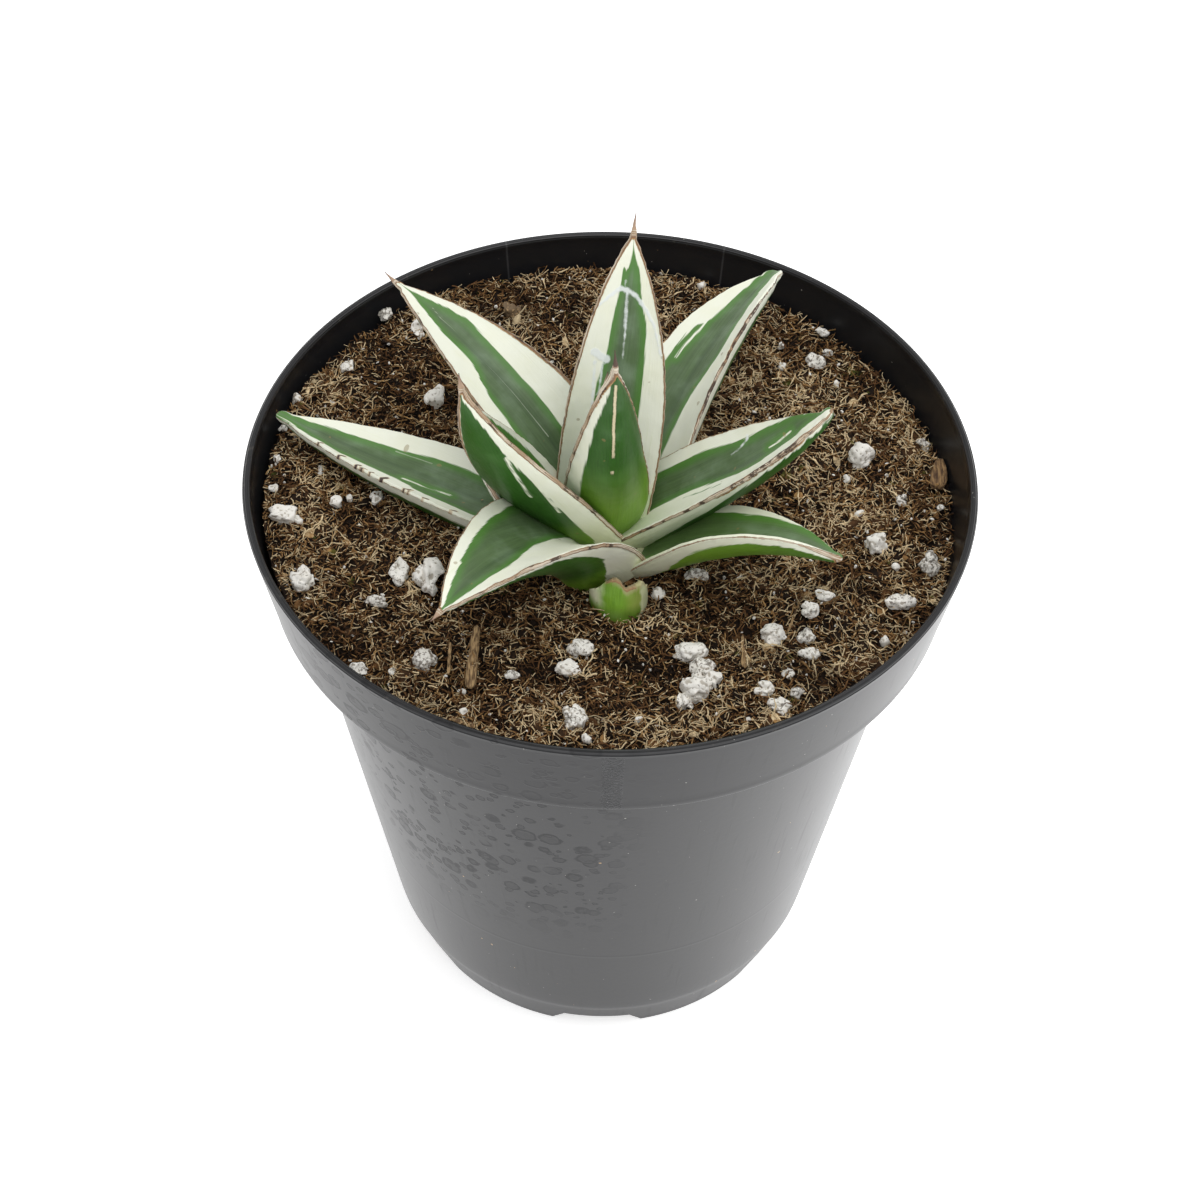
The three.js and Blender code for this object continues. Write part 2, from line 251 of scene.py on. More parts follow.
def lumps(points, size, seed):
    """Smooth seeded noise from -1 to 1 at points, with lumps of the given size."""
    cells = 24
    grid = np.random.default_rng(seed).random((cells, cells, cells)) * 2 - 1
    scaled = np.asarray(points, dtype=float) / size + 10.0 * cells
    corner = np.floor(scaled).astype(int)
    share = scaled - corner
    share = share * share * (3 - 2 * share)
    total = 0.0
    for step in np.ndindex(2, 2, 2):
        near = np.abs(1 - np.array(step) - share)
        i, j, k = np.moveaxis((corner + step) % cells, -1, 0)
        total = total + near[..., 0] * near[..., 1] * near[..., 2] * grid[i, j, k]
    return total


def circle(steps):
    """Evenly spaced turns once round."""
    return np.linspace(0, 2 * math.pi, steps, endpoint=False)


def shifted(faces, start):
    """Faces whose corners are numbered from start."""
    return [tuple(start + corner for corner in face) for face in faces]


def wound(rings, around):
    """Quads between rings of points."""
    faces = []
    for ring in range(rings - 1):
        for step in range(around):
            after = (step + 1) % around
            faces.append((ring * around + step, ring * around + after,
                          (ring + 1) * around + after, (ring + 1) * around + step))
    return faces


def turn_outwards(mesh):
    work = bmesh.new()
    work.from_mesh(mesh)
    bmesh.ops.recalc_face_normals(work, faces=work.faces)
    work.to_mesh(mesh)
    work.free()


# ------------------------------------------------------------------ settings


def number(name, description, default, low, high):
    """A size or strength that a user may change."""
    return FloatProperty(name=name, description=description, default=default, min=low, max=high)


def count(name, description, default, high):
    """How many of a thing a user may ask for."""
    return IntProperty(name=name, description=description, default=default, min=10, max=high)


def tint(name, description, code):
    """A colour that a user may change."""
    return FloatVectorProperty(name=name, description=description, subtype="COLOR",
                               default=paint(code), min=0, max=1)


class PotLooks(bpy.types.PropertyGroup):
    rim_radius: number("Rim radius", "Outer radius of the lip, in millimetres", 52.5, 40, 60)
    lip_thickness: number("Lip thickness", "Wall thickness at the lip, in millimetres",
                          1.1, 0.8, 2)
    ridge: number("Lip ridges", "Height of the turned ridges on the lip, in millimetres",
                  0.035, 0, 0.1)
    colour: tint("Plastic", "Colour of the moulded plastic", "#171719")
    roughness: number("Roughness", "Roughness of the moulded plastic", 0.27, 0.05, 1)
    mark_strength: number("Water marks", "How strongly dried drops show on the wall", 1.0, 0, 2)


class LeafLooks(bpy.types.PropertyGroup):
    cream: tint("Cream", "Colour of the bands along the margins", "#eaecdc")
    upper_green: tint("Upper green", "Colour of the channel of a leaf", "#526a42")
    outer_green: tint("Outer green", "Colour of the keel of a leaf", "#2e5c19")
    base_green: tint("Base green", "Colour near the foot of a leaf", "#86b436")
    bloom: tint("Bloom", "Colour of the waxy bloom", "#8fa48c")
    rim: number("Rim", "Scale of the horny rim's width", 1.0, 0, 2)


class SoilLooks(bpy.types.PropertyGroup):
    seed: IntProperty(name="Seed", description="Seed of everything scattered", default=7)
    fibres: count("Fibres", "Number of peat fibres of each shade", 6900, 7500)
    crumbs: count("Crumbs", "Number of loose crumbs of peat", 380, 2400)
    dust: count("Dust", "Number of specks of perlite", 500, 4000)
    # The darkest peat: the damp patches take it, and so does the painted shade in the hollows
    # between the crumbs.
    dark: tint("Damp peat and painted shade", "Colour of damp patches and of the painted shade between the crumbs", "#1d130b")
    brown: tint("Peat", "Main colour of the peat", "#6f4e30")
    tan: tint("Dry peat", "Colour of the dry fibres", "#ad8757")
    pale: tint("Pale peat", "Colour of the palest fibres", "#e6cfa6")
    perlite: tint("Perlite", "Colour of the perlite grains", "#e9e6df")


class StageLooks(bpy.types.PropertyGroup):
    surround: number("Surround", "Strength of the white surround", 0.78, 0, 4)
    key: number("Key light", "Power of the overhead softbox in watts", 4.9, 0, 100)
    floor: number("Floor glow", "Light that the lit floor gives off", 0.66, 0, 3)


# ------------------------------------------------------------------ stage

# Metres and radians; the softbox hangs over the pot and the floor reaches out of sight
CAMERA_PLACE = (0.0, -0.28323, 0.3775)
CAMERA_YAW = -0.0039
CAMERA_DIP = 0.8327
CAMERA_ROLL = 0.0226
CAMERA_LENS = 84.0
CAMERA_SENSOR = 36.0
CAMERA_NEAR = 0.01
SOFTBOX_PLACE = (0.16, -0.12, 1.0)
SOFTBOX_SIZE = (1.1, 0.9)
SOFTBOX_AIM = (0, 0, 0.05)
FLOOR_REACH = 6.0


class AGAVE_OT_stage(bpy.types.Operator):
    """Sets the camera, the soft light and the pale floor"""
    bl_idname = "agave.stage"
    bl_label = "Stage"

    def execute(self, context):
        scene = context.scene
        looks = scene.agave_stage
        yaw, dip, roll = CAMERA_YAW, CAMERA_DIP, CAMERA_ROLL
        ahead = Vector((math.sin(yaw) * math.cos(dip), math.cos(yaw) * math.cos(dip),
                        -math.sin(dip)))
        right = Vector((math.cos(yaw), -math.sin(yaw), 0))
        up = right.cross(ahead)
        level = math.cos(roll) * right + math.sin(roll) * up
        tall = math.cos(roll) * up - math.sin(roll) * right
        lens = bpy.data.cameras.new("camera")
        lens.lens = CAMERA_LENS
        lens.sensor_width = CAMERA_SENSOR
        lens.clip_start = CAMERA_NEAR
        scene.camera = add_object("camera", lens)
        turn = Matrix((level, tall, -ahead)).transposed().to_4x4()
        scene.camera.matrix_world = Matrix.Translation(CAMERA_PLACE) @ turn

        softbox = bpy.data.lights.new("softbox", "AREA")
        softbox.shape = "RECTANGLE"
        softbox.size, softbox.size_y = SOFTBOX_SIZE
        softbox.energy = looks.key
        overhead = add_object("softbox", softbox)
        overhead.location = SOFTBOX_PLACE
        aim = Vector(SOFTBOX_AIM) - overhead.location
        overhead.rotation_euler = aim.to_track_quat("-Z", "Y").to_euler()

        world = bpy.data.worlds.new("surround")
        world.use_nodes = True
        background = world.node_tree.nodes["Background"]
        background.inputs["Color"].default_value = (1, 1, 1, 1)
        background.inputs["Strength"].default_value = looks.surround
        scene.world = world
        scene.view_settings.view_transform = "Standard"

        material, wires = new_material("floor_white")
        place = object_place(wires)
        grain = noise(place, 0.05)
        glow = blend(fade(split(place)[0], -0.03, 0.09), (0.88, 0.88, 0.88), (1.42, 1.42, 1.42))
        close_material(wires, blend(grain, (0.8, 0.8, 0.8), (0.82, 0.82, 0.82)), 0.9,
                       Emission_Color=glow, Emission_Strength=looks.floor)
        reach = FLOOR_REACH / MM
        corners = [(side * reach, deep * reach, 0)
                   for side, deep in ((-1, -1), (1, -1), (1, 1), (-1, 1))]
        mesh = mesh_from("floor", corners, [(0, 1, 2, 3)])
        mesh.materials.append(material)
        floor = add_object("floor", mesh)
        return {"FINISHED"}


# ------------------------------------------------------------------ pot

POT_HEIGHT = 94.0
POT_AROUND = 288
WALL_RADIUS = 46.0
LIP_STEPS = 25
LIP_RIDGES = 5
NOTCHES = 6
CREASE_ANGLE = 38.0
SEAM_HEADINGS = (-2.805, 2.812)
RING_HEIGHT = 26.2
# Size in metres, chance and seed of the dried drops on the wall
DROPS = [(0.0044, 0.3, 0.0), (0.003, 0.34, 3.1), (0.0018, 0.4, 7.7)]


def arc(centre, radius, start, end, steps):
    """Points on a round corner of a profile, angles in degrees."""
    turns = np.radians(np.linspace(start, end, steps))
    return [(centre[0] + radius * math.cos(turn), centre[1] + radius * math.sin(turn))
            for turn in turns]


def line_points(start, end, steps):
    """Evenly spaced points from start up to, but without, end."""
    shares = np.linspace(0, 1, steps, endpoint=False)
    return [(start[0] + share * (end[0] - start[0]), start[1] + share * (end[1] - start[1]))
            for share in shares]


def pot_profile(looks):
    """The pot's section, from the middle of its underside, up and over to its floor."""
    rim = looks.rim_radius
    inner = rim - looks.lip_thickness
    outside = [(0.0, 3.0)]
    outside += line_points((20, 3.0), (24.2, 3.0), 3)
    outside += arc((24.4, 2.6), 0.4, 90, 15, 4)
    outside += line_points((25.0, 1.6), (26.4, 0.5), 3)
    outside += arc((26.9, 0.4), 0.4, 200, 270, 4)
    outside += arc((31.0, 0.4), 0.4, 270, 350, 5)
    outside += line_points((31.6, 1.0), (33.7, 7.0), 5)
    outside += [(33.85, 7.4), (34.0, 7.8), (34.1, 8.3)]
    outside += line_points((34.3, 9.4), (45.45, 77.8), 24)
    outside += [(45.5, 78.2), (45.65, 78.55), (46.0, 78.7)]
    outside += line_points((46.6, 78.7), (49.2, 78.7), 3)
    outside += arc((49.5, 79.0), 0.3, 270, 350, 5)
    outside += line_points((49.9, 79.8), (rim - 0.06, POT_HEIGHT - 0.9), 10)
    for step in range(LIP_STEPS + 1):
        share = step / LIP_STEPS
        turn = math.radians(170 * share + 5)
        bulge = 0.55 + looks.ridge * math.cos(share * 2 * math.pi * LIP_RIDGES)
        outside.append((rim - 0.59 + bulge * math.cos(turn),
                        POT_HEIGHT - 0.6 + bulge * math.sin(turn)))
    inside = line_points((inner, POT_HEIGHT - 1.0), (48.75, 80.2), 10)
    inside += [(48.7, 79.9), (48.4, 79.8)]
    inside += line_points((47.5, 79.8), (44.8, 79.8), 3)
    inside += line_points((44.5, 79.5), (32.95, 7.9), 12)
    inside += line_points((32.7, 7.3), (30.4, 1.4), 4)
    inside += [(30.2, 1.1), (27.7, 1.1), (25.7, 4.0), (25.4, 4.1), (12.0, 4.1), (0.0, 4.1)]
    return outside + inside


def notch_wedge():
    """The wedge that opens one notch in the foot ring, in front."""
    half = math.radians(12)
    points = []
    for radius in (24.4, 36.0):
        for side, height in ((-half * radius - 1.5, -1.0), (half * radius + 1.5, -1.0),
                             (half * radius - 1.5, 3.4), (-half * radius + 1.5, 3.4)):
            points.append((side, -radius, height))
    faces = [(0, 1, 2, 3), (7, 6, 5, 4), (0, 4, 5, 1), (1, 5, 6, 2), (2, 6, 7, 3), (3, 7, 4, 0)]
    return points, faces


def dried_drops(flat, wide, z, size, chance, seed):
    """Rings and faint spots of one size where water has dried; chance thins them out."""
    cells = flat.node("ShaderNodeTexVoronoi", {"feature": "F1", "voronoi_dimensions": "3D"}, {
        "Vector": joined(wide * 0.85 + noise(flat, 0.0014) * 0.0012,
                         z * 1.05 + noise(flat, 0.0019) * 0.001, seed),
        "Scale": 1 / size, "Randomness": 1.0})
    tone = cells.node("ShaderNodeSeparateColor", {}, {0: cells.other(1)})
    reach = tone * 0.2 + 0.2
    ring = band(cells, reach - 0.13, reach - 0.04, reach, reach + 0.07)
    spot = 1 - fade(cells, reach - 0.03, reach + 0.05)
    return most(ring, spot * 0.5) * fade(tone.other(1), chance, chance + 0.05)


def plastic_material(looks):
    """Moulded plastic with dried drops, rub marks, dust, its seams and a label's scar; its foot
    is dulled as painted shade.
    """
    material, wires = new_material("moulded_plastic")
    place = object_place(wires)
    x, y, z = split(place)
    angle = x.reckon("ARCTAN2", x, 0.0 - y)
    wide = angle * (WALL_RADIUS * MM)
    flat = joined(wide, z, 0.0)

    # Places below are in metres over the ground and in radians from the front
    drops = most(*(dried_drops(flat, wide, z, size, chance, seed)
                   for size, chance, seed in DROPS))
    front_left = band(angle, -1.15, -0.75, -0.12, 0.22)
    patchy = fade(noise(flat, 0.012), 0.33, 0.46)
    smear = fade(noise(flat, 0.0009), 0.22, 0.5) * 0.6 + 0.4
    drops = (drops * front_left * fade(z, 0.028, 0.046) * patchy * smear
             * looks.mark_strength)

    haze = noise(flat, 0.03, detail=4.0)
    fine = noise(flat, 0.0011, detail=2.0)
    rub = fade(noise(joined(wide, z * 0.12, 5.0), 0.0016, detail=4.0), 0.56, 0.72)
    specks = fade(noise(place, 0.0006, detail=1.0), 0.79, 0.815)
    tan_specks = fade(noise(place, 0.0008, detail=0.0), 0.885, 0.9)
    strip = band(angle, -0.006, 0.004, 0.046, 0.056)
    strip = strip * fade(z, 0.0788, 0.0796) * (1 - fade(z, 0.0926, 0.0932))
    bits = fade(noise(place, 0.0003, detail=2.0), 0.42, 0.62)
    worn = fade(z, 0.0928, 0.0934)
    collar = band(z, 0.0785, 0.0795, 0.0928, 0.0934)
    foot = 1 - fade(z, 0.0068, 0.0082)
    seams = most(*(1 - fade(apart(angle, heading), 0.0015, 0.004)
                   for heading in SEAM_HEADINGS))
    inside_dust = fade(noise(place, 0.0016), 0.62, 0.8) * worn
    base = layered(
        blend(haze, looks.colour, dimmed(looks.colour, 1.35)),
        (specks * 0.5, "#b9b6ae"), (tan_specks * 0.8, "#a98a5f"),
        (strip * bits * 0.35, "#5d5e60"), (inside_dust * 0.25, "#7b7468"),
        (seams * 0.5, "#4a4a4c"))

    rough = looks.roughness + haze * 0.05 + rub * 0.04 + drops * 0.1 + strip * bits * 0.25
    turned = noise((x * x + y * y) ** 0.5 * 900.0, 0.9) * 0.12 * worn
    ring_line = 1 - fade(apart(z, RING_HEIGHT * MM), 0.0, 0.0005)
    relief = (fine * 0.06 + rub * 0.05 + strip * bits * 1.2 + drops * 0.12 + turned
              + ring_line * 0.08)
    bump = wires.node("ShaderNodeBump", {}, {
        "Strength": 1.0, "Distance": 0.00012, "Height": relief})
    glossy, dull = [wires.node("ShaderNodeBsdfPrincipled", {}, {
        "Base Color": base, "Roughness": rough, "Normal": bump, "Coat Weight": weight,
        "Coat Roughness": 0.24, "Specular IOR Level": level})
        for weight, level in ((0.28, 0.27), (0.0, 0.1))]
    # Painted shade: the foot ring is made dull so that it reflects less, standing in for the
    # shaded floor next to it; the dried drops are dull of their own, and the collar is made
    # somewhat duller.
    dullness_and_painted_shade = most(drops * 0.42, collar * 0.36, foot * 0.8)
    shader = wires.node("ShaderNodeMixShader", {}, {0: dullness_and_painted_shade, 1: glossy, 2: dull})
    wires.node("ShaderNodeOutputMaterial", {}, {"Surface": shader})
    return material


class AGAVE_OT_pot(bpy.types.Operator):
    """Turns the nursery pot and opens the notches in its foot ring"""
    bl_idname = "agave.pot"
    bl_label = "Pot"

    def execute(self, context):
        looks = context.scene.agave_pot
        profile = pot_profile(looks)
        middle = profile[1:-1]
        points = [(0.0, 0.0, profile[0][1])]
        for radius, height in middle:
            points += [(radius * math.cos(turn), radius * math.sin(turn), height)
                       for turn in circle(POT_AROUND)]
        points.append((0.0, 0.0, profile[-1][1]))
        last = len(points) - 1
        final = 1 + (len(middle) - 1) * POT_AROUND
        faces = shifted(wound(len(middle), POT_AROUND), 1)
        for step in range(POT_AROUND):
            after = (step + 1) % POT_AROUND
            faces.append((0, 1 + after, 1 + step))
            faces.append((last, final + step, final + after))
        mesh = mesh_from("nursery_pot", points, faces)
        turn_outwards(mesh)
        body = add_object("nursery_pot_blank", mesh)

        wedge_points, wedge_faces = notch_wedge()
        points, faces = [], []
        for notch in range(NOTCHES):
            spin = Matrix.Rotation(2 * math.pi * notch / NOTCHES, 3, "Z")
            faces += shifted(wedge_faces, len(points))
            points += [tuple(spin @ Vector(point)) for point in wedge_points]
        mesh = mesh_from("notch_wedges", points, faces)
        turn_outwards(mesh)
        cutter = add_object("notch_wedges", mesh)
        cut = body.modifiers.new("notches", "BOOLEAN")
        cut.operation = "DIFFERENCE"
        cut.solver = "EXACT"
        cut.object = cutter
        graph = context.evaluated_depsgraph_get()
        finished = bpy.data.meshes.new_from_object(body.evaluated_get(graph))
        body.modifiers.clear()
        bpy.data.objects.remove(body)
        bpy.data.objects.remove(cutter)
        finished.name = "nursery_pot"
        finished.shade_smooth()
        finished.set_sharp_from_angle(angle=math.radians(CREASE_ANGLE))
        place_piece(finished, "nursery_pot", plastic_material(looks), ["pot"])
        return {"FINISHED"}


# ------------------------------------------------------------------ leaves

PLANT_AXIS = (1.5, -8.0)
# Rings along a leaf and its spine, then points across each of them
STATIONS = 150
SPINE_STATIONS = 16
ACROSS_UPPER = 49
ACROSS_OUTER = 41
ROUND_EDGE = 5
EDGE_BULGE = 0.2
EDGE_THICKNESS = 0.75
TIP_THICKNESS = 0.9
TIP_OFFSET = 0.06
TIP_CROWDING = 1.35
TIP_HALF_WIDTH = 0.63
SPINE_RADIUS = 0.36
NO_SPINE = 0.05
EDGE_ARC = 0.45
RIM_SPREAD = 0.06
KEEL_WIDTH = 0.42
OUTSIDE = -9.0
LEAF_SPACING = 60.0

# Each leaf as the solids have it, in millimetres and degrees: where its base stands from the
# plant's axis, its climb at base and tip with the bow between, its swing to the side, its roll
# at base, middle and tip, how deep its channel is (cup) and how thick it is, and its outline
# (where it is widest, the share of that at its base, how bluntly it narrows). After those come
# its spine or blunt tip, and what changes where the crown hides it (back, tuck and waist).
LEAF_KEYS = ("az", "out", "aside", "z", "length", "rise", "bow", "swing", "width", "roll", "cup",
             "thick", "widest", "base", "power")
LEAVES = {
    "leaf_bud_inner": dict(zip(LEAF_KEYS, (
        110, 0.6, -1.9, 90.0, 28.0, (84, 94), 0, 0, 8.6, (0, 0, 0), 0.5,
        3.4, 0.36, 0.92, 1.7)), spine=2.0),
    "leaf_bud_outer": dict(zip(LEAF_KEYS, (
        -77.5, 1.0, 2.7, 90.0, 36.8, (78, 88), 2.1, 9.0, 12.7, (-2, -5, -2), 0.33,
        5.0, 0.12, 0.9, 2.2)), spine=2.6, waist=0.5, tuck=(1.6, -1.0), back=4.0),
    "leaf_back": dict(zip(LEAF_KEYS, (
        78.1, 1.7, -3.1, 88.5, 42.8, (69, 49), 0.3, 4.3, 14.3, (1, -11, -14), 0.36,
        5.2, 0.30, 0.92, 2.2)), spine=2.4),
    "leaf_front_left_inner": dict(zip(LEAF_KEYS, (
        -149.3, 3.4, 1.5, 89.3, 45.5, (49, 80), -3.3, 9.7, 13.9, (-28, -8, -22), 0.17,
        2.7, 0.31, 0.85, 1.6)), spine=2.4, back=6.0),
    "leaf_right_upper": dict(zip(LEAF_KEYS, (
        -8.9, -0.8, -2.7, 87.8, 40.3, (45, 57), -9.2, 0.5, 13.7, (-1, 1, -4), 0.39,
        5.7, 0.34, 0.93, 1.9)), blunt=0.9, back=3.0),
    "leaf_left_inner": dict(zip(LEAF_KEYS, (
        178.6, 4.4, -1.5, 87.9, 31.8, (42, 76), -1.9, -8.3, 12.3, (3, 3, 18), 0.27,
        4.8, 0.39, 0.92, 1.8)), spine=1.5),
    "leaf_back_left": dict(zip(LEAF_KEYS, (
        136.0, 4.6, 0.9, 88.1, 46.4, (48, 15), -6.6, 5.4, 15.1, (1, -2, 0), 0.34,
        5.2, 0.36, 0.92, 1.7)), spine=2.0),
    "leaf_back_right": dict(zip(LEAF_KEYS, (
        62.6, 7.6, -2.3, 87.4, 46.5, (46, -7), -4.1, -4.7, 14.6, (-3, 19, 22), 0.40,
        5.4, 0.40, 0.95, 2.4)), blunt=1.5),
    "leaf_front_left": dict(zip(LEAF_KEYS, (
        -129.8, 4.6, 0.5, 87.6, 39.5, (60, -11), 2.8, 3.3, 16.8, (-3, -5, 3), 0.43,
        6.1, 0.38, 0.92, 1.8)), spine=1.6),
    "leaf_right_lower": dict(zip(LEAF_KEYS, (
        -24.9, 2.8, 0.8, 87.2, 36.7, (40, 4), 8.7, -8.5, 12.4, (-13, 6, 35), 0.38,
        4.0, 0.39, 0.86, 2.1)), blunt=1.0),
    "leaf_left": dict(zip(LEAF_KEYS, (
        164.8, 5.9, -0.5, 86.9, 47.9, (13, 10), -3.3, -10.2, 14.2, (2, -8, -7), 0.33,
        6.1, 0.35, 0.92, 2.0)), blunt=1.0),
}

